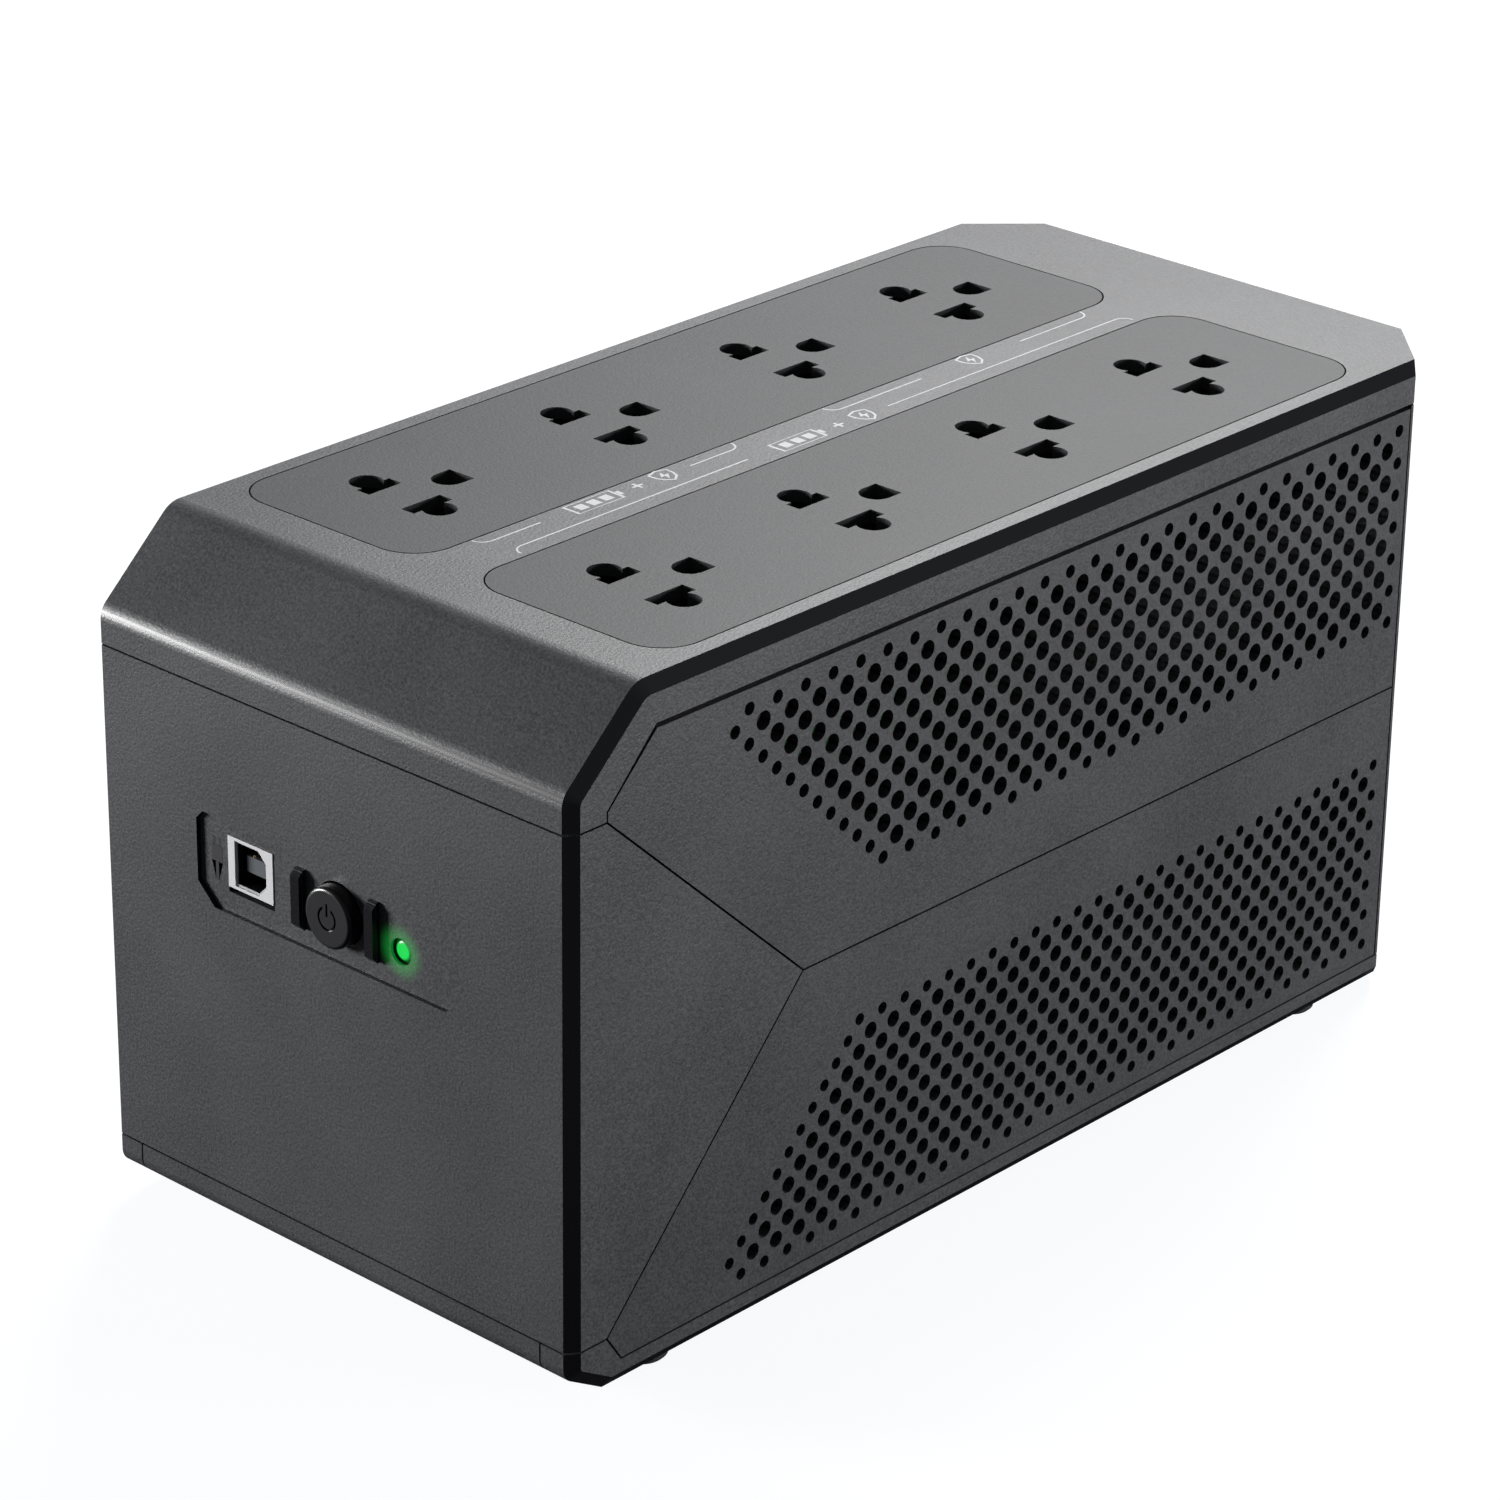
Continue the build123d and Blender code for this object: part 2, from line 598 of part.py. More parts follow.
with BuildPart() as usb_insulator:
    extrude(to_extrude=usb_outline(usb_seat, *usb_sleeve), amount=-(USB_DEEP - 1.4))
    extrude(to_extrude=usb_outline(usb_seat, *USB_CAVITY, 1.9), amount=-USB_CAVITY_DEEP, mode=Mode.SUBTRACT)
    block(
        around(USB_X, USB_TONGUE[0]), (usb_seat + 1.2, usb_seat + USB_CAVITY_DEEP),
        around(usb_z, USB_TONGUE[1]),
    )
save(usb_insulator, "usb_insulator")

with BuildPart() as usb_contacts:
    for side in (-1, 1):
        for offset_x in (-1.25, 1.25):
            block(
                around(USB_X + offset_x, 0.7), (usb_front + 2.2, usb_front + USB_CAVITY_DEEP - 0.2),
                (usb_z + side * USB_TONGUE[1] / 2, usb_z + side * (USB_TONGUE[1] / 2 + 0.2)),
            )
save(usb_contacts, "usb_contacts")

LED_LENS_DEEP = 4.0
with BuildPart() as led_lens:
    rod(LED_X, (recess_floor + 0.5, switch_board_front - LED_LENS_DEEP), up(LED_HEIGHT), LED_RADIUS - 0.1)
    fillet(led_lens.edges().group_by(Axis.Y)[0], 1.2)
    rod(LED_X, (INNER_FRONT, INNER_FRONT + 1.2), up(LED_HEIGHT), LED_RADIUS + 1.0)
save(led_lens, "led_lens")

with BuildPart() as led:
    rod(LED_X, (switch_board_front - LED_LENS_DEEP, switch_board_front), up(LED_HEIGHT), 2.0)
save(led, "led")

control_board_y = (switch_board_front, switch_board_front + BOARD_THICK)
with BuildPart() as control_board:
    block(
        (post_x[0] - POST_RADIUS, post_x[1] + POST_RADIUS), control_board_y,
        (up(post_heights[0] - POST_RADIUS), up(post_heights[1] + POST_RADIUS)),
    )
    for x, z in posts:
        rod(x, control_board_y, z, SCREW_PILOT, mode=Mode.SUBTRACT)
save(control_board, "control_board")

with BuildPart() as control_board_screws:
    for x, z in posts:
        rod(x, (control_board_y[0] - 7, control_board_y[1]), z, SCREW_PILOT)
        rod(x, (control_board_y[1], control_board_y[1] + 1.4), z, 2.0)
save(control_board_screws, "control_board_screws")


# ------------------------------------------------------------------ side grilles
def perforation_zone(first, pitch, radii):
    """Staggered holes as (y, z, radius), with a slanted front edge and small holes on the border."""
    holes = []
    last_column = int((SIDE_END - PERFORATION_MARGIN - first[0]) / pitch[0]) // 2 * 2
    for row in range(PERFORATED_ROWS):
        start = row - 2 if row else 0
        for column in range(start, last_column + 1, 2):
            on_border = row in (0, PERFORATED_ROWS - 1) or column in (start, last_column)
            depth = first[0] + column * pitch[0]
            height = first[1] + row * pitch[1]
            holes.append((back(depth), up(height), radii[1] if on_border else radii[0]))
    return holes


def grille(region, holes, side, backing=None):
    """One perforated side panel; side is +1 on the right and -1 on the left."""
    with BuildPart() as panel:
        add(skin(region))
        if backing:
            add(lip(backing))
        block(
            (0, -side * WIDTH), (back(-OUTSIDE), back(FAR)), (up(-OUTSIDE), up(CASE_HEIGHT)),
            mode=Mode.SUBTRACT,
        )
        with BuildSketch(Plane.YZ):
            for radius in sorted({hole[2] for hole in holes}):
                with Locations(*[hole[:2] for hole in holes if hole[2] == radius]):
                    Circle(radius)
        extrude(amount=side * WIDTH, mode=Mode.SUBTRACT)
    return panel


for side, hand in ((1, "right"), (-1, "left")):
    upper = grille(UPPER_REGION, perforation_zone(UPPER_FIRST, UPPER_PITCH, UPPER_RADII), side, GRILLE_LIP)
    save(upper, f"{hand}_upper_grille")
    lower = grille(LOWER_REGION, perforation_zone(LOWER_FIRST, LOWER_PITCH, LOWER_RADII), side)
    save(lower, f"{hand}_lower_grille")

# ------------------------------------------------------------------ top cover
panel_middle_y = back((PANEL_START + PANEL_END) / 2)
panel_length = PANEL_END - PANEL_START
top = up(CASE_HEIGHT)

with BuildPart() as top_cover:
    add(skin(COVER_REGION))
    add(lip(COVER_LIP))
    for side in (-1, 1):
        spot = (side * ROW_X, panel_middle_y)
        with BuildSketch(Plane.XY.offset(CEILING - 2)):
            with Locations(spot):
                RectangleRounded(PANEL_WIDTH + 2 * LEDGE, panel_length + 2 * LEDGE, PANEL_CORNER + LEDGE)
        extrude(amount=2)
        with BuildSketch(Plane.XY.offset(top - PANEL_THICK)):
            with Locations(spot):
                RectangleRounded(PANEL_WIDTH + 2 * PANEL_GAP, panel_length + 2 * PANEL_GAP, PANEL_CORNER)
        extrude(amount=OUTSIDE, mode=Mode.SUBTRACT)
        with BuildSketch(Plane.XY.offset(CEILING - OUTSIDE)):
            with Locations(spot):
                RectangleRounded(PANEL_WIDTH - 2 * LEDGE, panel_length - 2 * LEDGE, PANEL_CORNER - LEDGE)
        extrude(amount=2 * OUTSIDE, mode=Mode.SUBTRACT)
    for pillars, foot in ((rear_pillars, rear_boss_top), (front_pillars, front_boss_top)):
        for x, y in pillars:
            peg(x, y, (foot, CEILING), PILLAR_RADIUS)
            peg(x, y, (foot, foot + 12), SHANK, mode=Mode.SUBTRACT)
save(top_cover, "top_cover")

with BuildPart() as cover_screws:
    for pillars, seat, foot in (
        (rear_pillars, up(0), rear_boss_top), (front_pillars, shelf_z[0], front_boss_top),
    ):
        for x, y in pillars:
            peg(x, y, (seat, seat + HEAD_THICK), HEAD)
            peg(x, y, (seat + HEAD_THICK, foot + 10), SHANK)
save(cover_screws, "cover_screws")

# ------------------------------------------------------------------ outlets
POLES = ((-1, NEUTRAL_SLOT), (1, LINE_SLOT))
CARRIER = (34.0, 29.0, 16.0)
CARRIER_SHIFT = 5.2        # a carrier's middle, behind the middle of its outlet's blade slots
CARRIER_WALL = 1.5
BUS_THICK = 1.0
BUS_WIDTH = 8.0
LEAF = (0.6, 5.0, 9.0)
carrier_z = (CEILING - CARRIER[2], CEILING)
bus_z = (carrier_z[0] - BUS_THICK, carrier_z[0])
leaf_z = (carrier_z[0], carrier_z[0] + LEAF[2])
BUS_X = 8.8                # middle of the line and neutral strips
EARTH_BUS_WIDTH = 6.6
bus_y = (back(OUTLET_DEPTHS[0] - 8), back(OUTLET_DEPTHS[-1] + 18))

for side, hand in ((1, "right"), (-1, "left")):
    outlets = [(side * ROW_X, back(depth)) for depth in OUTLET_DEPTHS]
    with BuildPart() as outlet_panel:
        with BuildSketch(Plane.XY.offset(top - PANEL_THICK)):
            with Locations((side * ROW_X, panel_middle_y)):
                RectangleRounded(PANEL_WIDTH, panel_length, PANEL_CORNER - PANEL_GAP)
        extrude(amount=PANEL_THICK)
        with BuildSketch(Plane.XY.offset(top - PANEL_THICK)):
            for x, y in outlets:
                for pole, slot in POLES:
                    with Locations((x + pole * SLOT_X, y)):
                        Rectangle(SLOT_WIDTH, slot)
                    with Locations((x + pole * PIN_X, y)):
                        Circle(PIN_RADIUS)
                with Locations((x, y + EARTH_Y)):
                    Circle(EARTH_RADIUS)
                with Locations((x, y + (EARTH_Y + EARTH_FLAT) / 2)):
                    Rectangle(2 * EARTH_RADIUS, EARTH_FLAT - EARTH_Y)
        extrude(amount=OUTSIDE, mode=Mode.SUBTRACT)
    save(outlet_panel, f"outlet_panel_{hand}")

    with BuildPart() as socket_carrier:
        for x, y in outlets:
            block(around(x, CARRIER[0]), around(y + CARRIER_SHIFT, CARRIER[1]), carrier_z)
            for pole, slot in POLES:
                inner = x + pole * (EARTH_RADIUS + CARRIER_WALL)
                outer = x + pole * (CARRIER[0] / 2 - CARRIER_WALL)
                block((inner, outer), around(y, LINE_SLOT + 3), carrier_z, mode=Mode.SUBTRACT)
            block(
                around(x, 2 * EARTH_RADIUS), (y + EARTH_Y - EARTH_RADIUS, y + EARTH_FLAT + 1), carrier_z,
                mode=Mode.SUBTRACT,
            )
    save(socket_carrier, f"socket_carrier_{hand}")

    for pole, role in ((-1, "neutral"), (1, "line")):
        with BuildPart() as bus:
            block(around(side * ROW_X + pole * BUS_X, BUS_WIDTH), bus_y, bus_z)
            for x, y in outlets:
                for leaf_x in (SLOT_X - 1.2, SLOT_X + 1.4, BUS_X + BUS_WIDTH / 2 - LEAF[0] / 2):
                    block(around(x + pole * leaf_x, LEAF[0]), around(y, LEAF[1]), leaf_z)
        save(bus, f"{role}_bus_{hand}")

    with BuildPart() as earth_bus:
        block(around(side * ROW_X, EARTH_BUS_WIDTH), bus_y, bus_z)
        for x, y in outlets:
            for leaf_side in (-1, 1):
                block(around(x + leaf_side * 2.7, LEAF[0]), around(y + EARTH_Y + 0.5, LEAF[1]), leaf_z)
    save(earth_bus, f"earth_bus_{hand}")

# ------------------------------------------------------------------ battery
battery_y = (back(BATTERY_START), back(BATTERY_START + BATTERY[1]))
battery_z = (flange_z[1] + RUN_GAP, flange_z[1] + RUN_GAP + BATTERY[2])
TAB = (0.8, 6.3, 6.0)
tab_x = BATTERY_X + BATTERY[0] / 2 - 9.0
tab_y = (battery_y[0] + 8.0, battery_y[1] - 8.0)
tab_z = (battery_z[1] + 1, battery_z[1] + 1 + TAB[2])
LEAD_RADIUS = 1.3
SPACER = 2.5               # the main board's stand-off from the bay's side wall

with BuildPart() as battery:
    block(around(BATTERY_X, BATTERY[0]), battery_y, battery_z)
    fillet(battery.edges().filter_by(Axis.Z), 2.5)
    block(
        around(BATTERY_X, BATTERY[0] - 10), (tab_y[0] + 8, tab_y[1] - 8), (battery_z[1], battery_z[1] + 1.2),
    )
save(battery, "battery")

with BuildPart() as battery_terminals:
    for y in tab_y:
        block(around(tab_x, 7), around(y, 9), (battery_z[1], tab_z[0]))
        block(around(tab_x, TAB[0]), around(y, TAB[1]), tab_z)
save(battery_terminals, "battery_terminals")

with BuildPart() as battery_pads:
    for side in (-1, 1):
        edge = BATTERY_X + side * BATTERY[0] / 2
        for y in (battery_y[0] + 25, battery_y[1] - 25):
            block((edge, edge + side * PAD_THICK), around(y, 20), (up(12), up(36)))
    for edge, away in ((battery_y[0], -1), (battery_y[1], 1)):
        block(around(BATTERY_X, 30), (edge, edge + away * PAD_THICK), (up(12), up(36)))
save(battery_pads, "battery_pads")

# flag connectors pushed on the battery's tabs, and the leads that run over to the main board
bay_side = bay_x[1] + BAY_WALL
board_x = (bay_side + SPACER, bay_side + SPACER + BOARD_THICK)
LANDING_X = board_x[1] + 6.0
LANDING_Z = up(84)
lead_z = tab_z[0] + TAB[2] / 2 + 0.5
connector_end = tab_x + 7.0

with BuildPart() as battery_connectors:
    for y in tab_y:
        block((tab_x - 1.6, connector_end), around(y, 7.6), around(lead_z, 4.6))
        block(around(tab_x, TAB[0]), around(y, TAB[1]), tab_z, mode=Mode.SUBTRACT)
save(battery_connectors, "battery_connectors")

for y, colour in zip(tab_y, ("black", "red")):
    with BuildPart() as lead:
        with BuildLine() as route:
            FilletPolyline(
                (connector_end, y, lead_z), (LANDING_X, y, lead_z), (LANDING_X, y, LANDING_Z),
                radius=0.45 * (LANDING_X - connector_end),
            )
        with BuildSketch(Plane(origin=route.line @ 0, z_dir=route.line % 0)):
            Circle(LEAD_RADIUS)
        sweep(path=route.line)
    save(lead, f"battery_lead_{colour}")

# ------------------------------------------------------------------ main board
board_y = (back(BATTERY_START + 2), back(BATTERY_START + BATTERY[1] - 3))
board_z = (up(12), up(92))
with BuildPart() as main_board:
    block(board_x, board_y, board_z)
save(main_board, "main_board")

board_corners = [(y, z) for y in (board_y[0] + 6, board_y[1] - 6) for z in (board_z[0] + 6, board_z[1] - 4)]
with BuildPart() as board_spacers:
    for y, z in board_corners:
        stud((bay_side, board_x[0]), y, z, 3.0)
save(board_spacers, "board_spacers")

with BuildPart() as board_screws:
    for y, z in board_corners:
        stud((board_x[1], board_x[1] + 1.8), y, z, 2.6)
save(board_screws, "board_screws")

with BuildPart() as board_terminals:
    for y in tab_y:
        block((board_x[1], board_x[1] + 9), around(y, 9), (LANDING_Z - 9, LANDING_Z))
save(board_terminals, "board_terminals")

RELAY = (16.0, 19.0, 15.0)
relay_low = board_z[0] + 4
with BuildPart() as relays:
    for step in range(4):
        y = board_y[0] + 24 + 25 * step
        block((board_x[1], board_x[1] + RELAY[0]), around(y, RELAY[1]), (relay_low, relay_low + RELAY[2]))
    chamfer(relays.edges().group_by(Axis.X)[-1], 0.8)
save(relays, "relays")

with BuildPart() as capacitors:
    for y, z, radius, length in ((118, 36, 8, 26), (136, 36, 8, 26), (126, 56, 5, 14), (138, 56, 5, 14)):
        stud((board_x[1], board_x[1] + length), board_y[0] + y, board_z[0] + z, radius)
    fillet(capacitors.edges().filter_by(GeomType.CIRCLE).group_by(Axis.X)[-1], 1.0)
save(capacitors, "capacitors")

FINS = 6
sink_y = (board_y[0] + 16, board_y[0] + 76)
sink_z = (board_z[0] + 44, board_z[0] + 72)
with BuildPart() as heat_sink:
    block((board_x[1] + 4, board_x[1] + 7), sink_y, sink_z)
    for fin in range(FINS):
        z = sink_z[0] + 0.75 + fin * (sink_z[1] - sink_z[0] - 1.5) / (FINS - 1)
        block((board_x[1] + 7, board_x[1] + 24), sink_y, around(z, 1.5))
    for y in (sink_y[0] + 2, sink_y[1] - 2):
        block((board_x[1], board_x[1] + 4), around(y, 3), (sink_z[0], sink_z[0] + 6))
save(heat_sink, "heat_sink")

with BuildPart() as power_transistors:
    for step in range(4):
        y = sink_y[0] + 12 + 12 * step
        block((board_x[1], board_x[1] + 4), around(y, 10), (sink_z[0] - 3, sink_z[0] + 12))
save(power_transistors, "power_transistors")

with BuildPart() as choke:
    with Locations(Location((board_x[1] + 6, board_y[0] + 122, board_z[0] + 12), (0, 90, 0))):
        Torus(8, 4.2)
        Cylinder(8, 2.0)
        Cylinder(4.5, 30, mode=Mode.SUBTRACT)
    block((board_x[1], board_x[1] + 3), around(board_y[0] + 122, 12), (board_z[0] + 2, board_z[0] + 6))
save(choke, "choke")

# ------------------------------------------------------------------ transformer
core_middle = back(CORE_DEPTH)
window_z = (core_z[0] + LIMB, core_z[1] - LIMB)
with BuildPart() as transformer_core:
    block(around(0, CORE[0]), core_y, core_z)
    for side in (-1, 1):
        block((side * LIMB, side * 2 * LIMB), core_y, window_z, mode=Mode.SUBTRACT)
save(transformer_core, "transformer_core")

BOBBIN_WALL = 1.2
coil_x = 2 * LIMB - 0.5
coil_y = CORE[1] / 2 + COIL_BULGE
with BuildPart() as transformer_bobbin:
    for z in (window_z[0], window_z[1] - BOBBIN_WALL):
        block(around(0, 2 * coil_x), around(core_middle, 2 * coil_y), (z, z + BOBBIN_WALL))
    block(around(0, 2 * (LIMB + BOBBIN_WALL)), around(core_middle, CORE[1] + 2 * BOBBIN_WALL), window_z)
    block(around(0, 2 * LIMB), core_y, window_z, mode=Mode.SUBTRACT)
save(transformer_bobbin, "transformer_bobbin")

with BuildPart() as transformer_winding:
    block(
        around(0, 2 * coil_x - 1.5), around(core_middle, 2 * coil_y - 1.5),
        (window_z[0] + BOBBIN_WALL, window_z[1] - BOBBIN_WALL),
    )
    fillet(transformer_winding.edges().filter_by(Axis.Z), 5)
    block(
        around(0, 2 * (LIMB + BOBBIN_WALL)), around(core_middle, CORE[1] + 2 * BOBBIN_WALL), window_z,
        mode=Mode.SUBTRACT,
    )
save(transformer_winding, "transformer_winding")

with BuildPart() as transformer_bracket:
    strap_y = around(core_middle, strap_width)
    block(around(0, CORE[0] + 2 * STRAP_THICK), strap_y, (core_z[0], core_z[1] + STRAP_THICK))
    block(around(0, CORE[0]), strap_y, (core_z[0], core_z[1]), mode=Mode.SUBTRACT)
    for side in (-1, 1):
        root = side * (strap_half + STRAP_THICK)
        block((root, root + side * STRAP_FOOT), strap_y, (core_z[0], core_z[0] + STRAP_THICK))
    for x, y in strap_holes:
        peg(x, y, (core_z[0] - 1, core_z[0] + 2 * STRAP_THICK), SHANK + 0.2, mode=Mode.SUBTRACT)
save(transformer_bracket, "transformer_bracket")

with BuildPart() as transformer_screws:
    for x, y in strap_holes:
        peg(x, y, (FLOOR + 1, core_z[0] + STRAP_THICK), SHANK)
        peg(x, y, (core_z[0] + STRAP_THICK, core_z[0] + STRAP_THICK + HEAD_THICK), HEAD)
save(transformer_screws, "transformer_screws")

# ------------------------------------------------------------------ rear panel and what it carries
pocket_x = (POCKET_X[0] + POCKET_X[1]) / 2
pocket_floor = back(LENGTH - POCKET_DEEP)
pocket_inside = pocket_floor - WALL
fan_x = REAR_PILLAR[0] - PILLAR_RADIUS - PILLAR_GAP - FAN_SIZE / 2
fan_y = (INNER_REAR - FAN_DEEP, INNER_REAR)
fan_z = up(SIDE_HIGH - FAN_LID_GAP - FAN_SIZE / 2)
fan_screws_at = [
    (fan_x + sx * FAN_SCREW_PITCH / 2, fan_z + sz * FAN_SCREW_PITCH / 2) for sx in (-1, 1) for sz in (-1, 1)
]
GRILLE_RINGS = ((4.5, 6), (9.0, 12), (13.5, 18), (18.0, 24))
GRILLE_HOLE = 1.7
inlet_z = up(INLET_HEIGHT)
inlet_front = pocket_floor + 1.5
breaker_z = up(BREAKER_HEIGHT)
BREAKER_NECK = 4.5

with BuildPart() as rear_panel:
    add(skin(REAR_REGION))
    add(lip(REAR_LIP))
    block(
        (POCKET_X[0] - WALL, POCKET_X[1] + WALL), (pocket_inside, INNER_REAR),
        (up(POCKET_HEIGHTS[0] - WALL), up(POCKET_HEIGHTS[1] + WALL)),
    )
    block(
        POCKET_X, (pocket_floor, back(FAR)), (up(POCKET_HEIGHTS[0]), up(POCKET_HEIGHTS[1])),
        mode=Mode.SUBTRACT,
    )
    block(
        around(pocket_x, INLET_BODY[0]), (pocket_inside - 1, back(FAR)), around(inlet_z, INLET_BODY[1]),
        mode=Mode.SUBTRACT,
    )
    rod(pocket_x, (pocket_inside - 1, back(FAR)), breaker_z, BREAKER_NECK, mode=Mode.SUBTRACT)
    for radius, count in GRILLE_RINGS:
        for step in range(count):
            turn = math.radians(360 * step / count)
            rod(
                fan_x + radius * math.cos(turn), (INNER_REAR - 1, back(FAR)), fan_z + radius * math.sin(turn),
                GRILLE_HOLE, mode=Mode.SUBTRACT,
            )
    for x, z in fan_screws_at:
        rod(x, (INNER_REAR - 1, back(FAR)), z, SHANK, mode=Mode.SUBTRACT)
        rod(x, (back(LENGTH - 1.5), back(FAR)), z, HEAD, mode=Mode.SUBTRACT)
save(rear_panel, "rear_panel")

with BuildPart() as fan_screws:
    for x, z in fan_screws_at:
        rod(x, (INNER_REAR - 10, back(LENGTH - 1.5)), z, SHANK)
        rod(x, (back(LENGTH - 1.5), back(LENGTH)), z, HEAD)
save(fan_screws, "fan_screws")

hub_y = (fan_y[0], fan_y[0] + 4.0)
with BuildPart() as fan_frame:
    block(around(fan_x, FAN_SIZE), fan_y, around(fan_z, FAN_SIZE))
    fillet(fan_frame.edges().filter_by(Axis.Y), 3)
    rod(fan_x, (fan_y[0] - 1, fan_y[1] + 1), fan_z, FAN_BORE, mode=Mode.SUBTRACT)
    rod(fan_x, hub_y, fan_z, FAN_HUB)
    block(around(fan_x, 2 * FAN_BORE + 1), (hub_y[0], hub_y[0] + 1.5), around(fan_z, 3))
    block(around(fan_x, 3), (hub_y[0], hub_y[0] + 1.5), around(fan_z, 2 * FAN_BORE + 1))
    rod(fan_x, (hub_y[0] + 1, hub_y[1] + 1), fan_z, SPINDLE + SPINDLE_GAP, mode=Mode.SUBTRACT)
    for x, z in fan_screws_at:
        rod(x, (fan_y[1] - 10.5, fan_y[1] + 1), z, SHANK, mode=Mode.SUBTRACT)
save(fan_frame, "fan_frame")

rotor_y = (hub_y[1] + 0.6, fan_y[1] - 1.2)
with BuildPart() as fan_rotor:
    rod(fan_x, rotor_y, fan_z, FAN_HUB)
    fillet(fan_rotor.edges().group_by(Axis.Y)[-1], 1.0)
    rod(fan_x, (hub_y[0] + 1.3, rotor_y[0]), fan_z, SPINDLE)
    blade_length = FAN_BORE - 1.0 - FAN_HUB + 1.5
    with Locations(Location((fan_x, sum(rotor_y) / 2, fan_z), (90, 0, 0))):
        with PolarLocations(FAN_HUB - 1.5 + blade_length / 2, BLADES):
            Box(blade_length, 9.5, 1.1, rotation=(38, 0, 0))
save(fan_rotor, "fan_rotor")

INLET_CUT = 4.0            # the cavity's two cut corners, at its lower edge
PIN_SIZE = (2.0, 4.0)
PIN_SPREAD = 7.0
EARTH_PIN_RISE = 4.0
cavity_half = (INLET_CAVITY[0] / 2, INLET_CAVITY[1] / 2)
pin_spots = ((-PIN_SPREAD, -1.0), (PIN_SPREAD, -1.0), (0, EARTH_PIN_RISE - 1.0))

with BuildPart() as mains_inlet:
    block(
        around(pocket_x, INLET_BODY[0]), (inlet_front - INLET_DEEP, inlet_front),
        around(inlet_z, INLET_BODY[1]),
    )
    block(
        around(pocket_x, INLET_BODY[0] + 5), (pocket_floor, inlet_front),
        around(inlet_z, INLET_BODY[1] + 2.4),
    )
    with BuildSketch(Plane.XZ.offset(-inlet_front)):
        with BuildLine():
            Polyline(
                (pocket_x - cavity_half[0], inlet_z + cavity_half[1]),
                (pocket_x + cavity_half[0], inlet_z + cavity_half[1]),
                (pocket_x + cavity_half[0], inlet_z - cavity_half[1] + INLET_CUT),
                (pocket_x + cavity_half[0] - INLET_CUT, inlet_z - cavity_half[1]),
                (pocket_x - cavity_half[0] + INLET_CUT, inlet_z - cavity_half[1]),
                (pocket_x - cavity_half[0], inlet_z - cavity_half[1] + INLET_CUT), close=True,
            )
        make_face()
    extrude(amount=INLET_CAVITY_DEEP, mode=Mode.SUBTRACT)
    for x, z in pin_spots:
        block(
            around(pocket_x + x, PIN_SIZE[0]), (inlet_front - INLET_DEEP - 1, inlet_front),
            around(inlet_z + z, PIN_SIZE[1]), mode=Mode.SUBTRACT,
        )
save(mains_inlet, "mains_inlet")

with BuildPart() as inlet_pins:
    for x, z in pin_spots:
        block(
            around(pocket_x + x, PIN_SIZE[0]), (inlet_front - INLET_DEEP - 6, inlet_front - 1.5),
            around(inlet_z + z, PIN_SIZE[1]),
        )
save(inlet_pins, "inlet_pins")

BREAKER_BODY = (26.0, 11.0, 22.0)
button_out = pocket_floor + 2.6
with BuildPart() as breaker_body:
    block(
        around(pocket_x, BREAKER_BODY[0]), (pocket_inside - BREAKER_BODY[2], pocket_inside),
        around(breaker_z, BREAKER_BODY[1]),
    )
    rod(pocket_x, (pocket_inside, pocket_floor + 1.4), breaker_z, BREAKER_NECK)
    with BuildSketch(Plane.XZ.offset(-(pocket_floor + 1.4))):
        with Locations((pocket_x, breaker_z)):
            RegularPolygon(BREAKER_NECK + 2.2, 6)
    extrude(amount=1.4)
    rod(
        pocket_x, (pocket_inside - 12, back(LENGTH)), breaker_z, BREAKER_RADIUS + RUN_GAP / 2,
        mode=Mode.SUBTRACT,
    )
save(breaker_body, "breaker_body")

with BuildPart() as breaker_button:
    rod(pocket_x, (pocket_inside - 11.5, button_out), breaker_z, BREAKER_RADIUS)
    fillet(breaker_button.edges().group_by(Axis.Y)[-1], 0.5)
save(breaker_button, "breaker_button")
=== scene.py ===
# A small uninterruptible power supply: its finishes, its printing and the studio it stands in.
# The model's frame is in metres, +Z up, with the control panel facing -Y.
import math

import bpy
from mathutils import Matrix, Vector


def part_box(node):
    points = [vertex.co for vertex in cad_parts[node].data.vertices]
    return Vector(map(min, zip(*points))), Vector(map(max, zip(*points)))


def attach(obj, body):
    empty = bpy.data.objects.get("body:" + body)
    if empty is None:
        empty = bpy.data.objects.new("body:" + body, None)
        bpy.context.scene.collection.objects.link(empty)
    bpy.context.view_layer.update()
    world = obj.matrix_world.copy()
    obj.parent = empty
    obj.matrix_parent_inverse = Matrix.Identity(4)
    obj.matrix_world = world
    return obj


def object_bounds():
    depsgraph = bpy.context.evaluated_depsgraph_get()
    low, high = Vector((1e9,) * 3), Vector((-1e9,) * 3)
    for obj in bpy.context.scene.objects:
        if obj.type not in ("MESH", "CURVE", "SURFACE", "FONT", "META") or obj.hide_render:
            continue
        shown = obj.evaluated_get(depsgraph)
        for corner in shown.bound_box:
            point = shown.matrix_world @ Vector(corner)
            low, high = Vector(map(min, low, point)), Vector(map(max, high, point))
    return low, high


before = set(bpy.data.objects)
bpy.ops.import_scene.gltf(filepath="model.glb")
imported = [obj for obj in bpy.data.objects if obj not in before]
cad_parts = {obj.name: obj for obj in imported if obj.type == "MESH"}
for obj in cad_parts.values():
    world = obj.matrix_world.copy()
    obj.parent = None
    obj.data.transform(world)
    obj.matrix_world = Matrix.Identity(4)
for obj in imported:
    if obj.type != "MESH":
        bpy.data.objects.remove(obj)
cad_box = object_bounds()
MM = 0.001


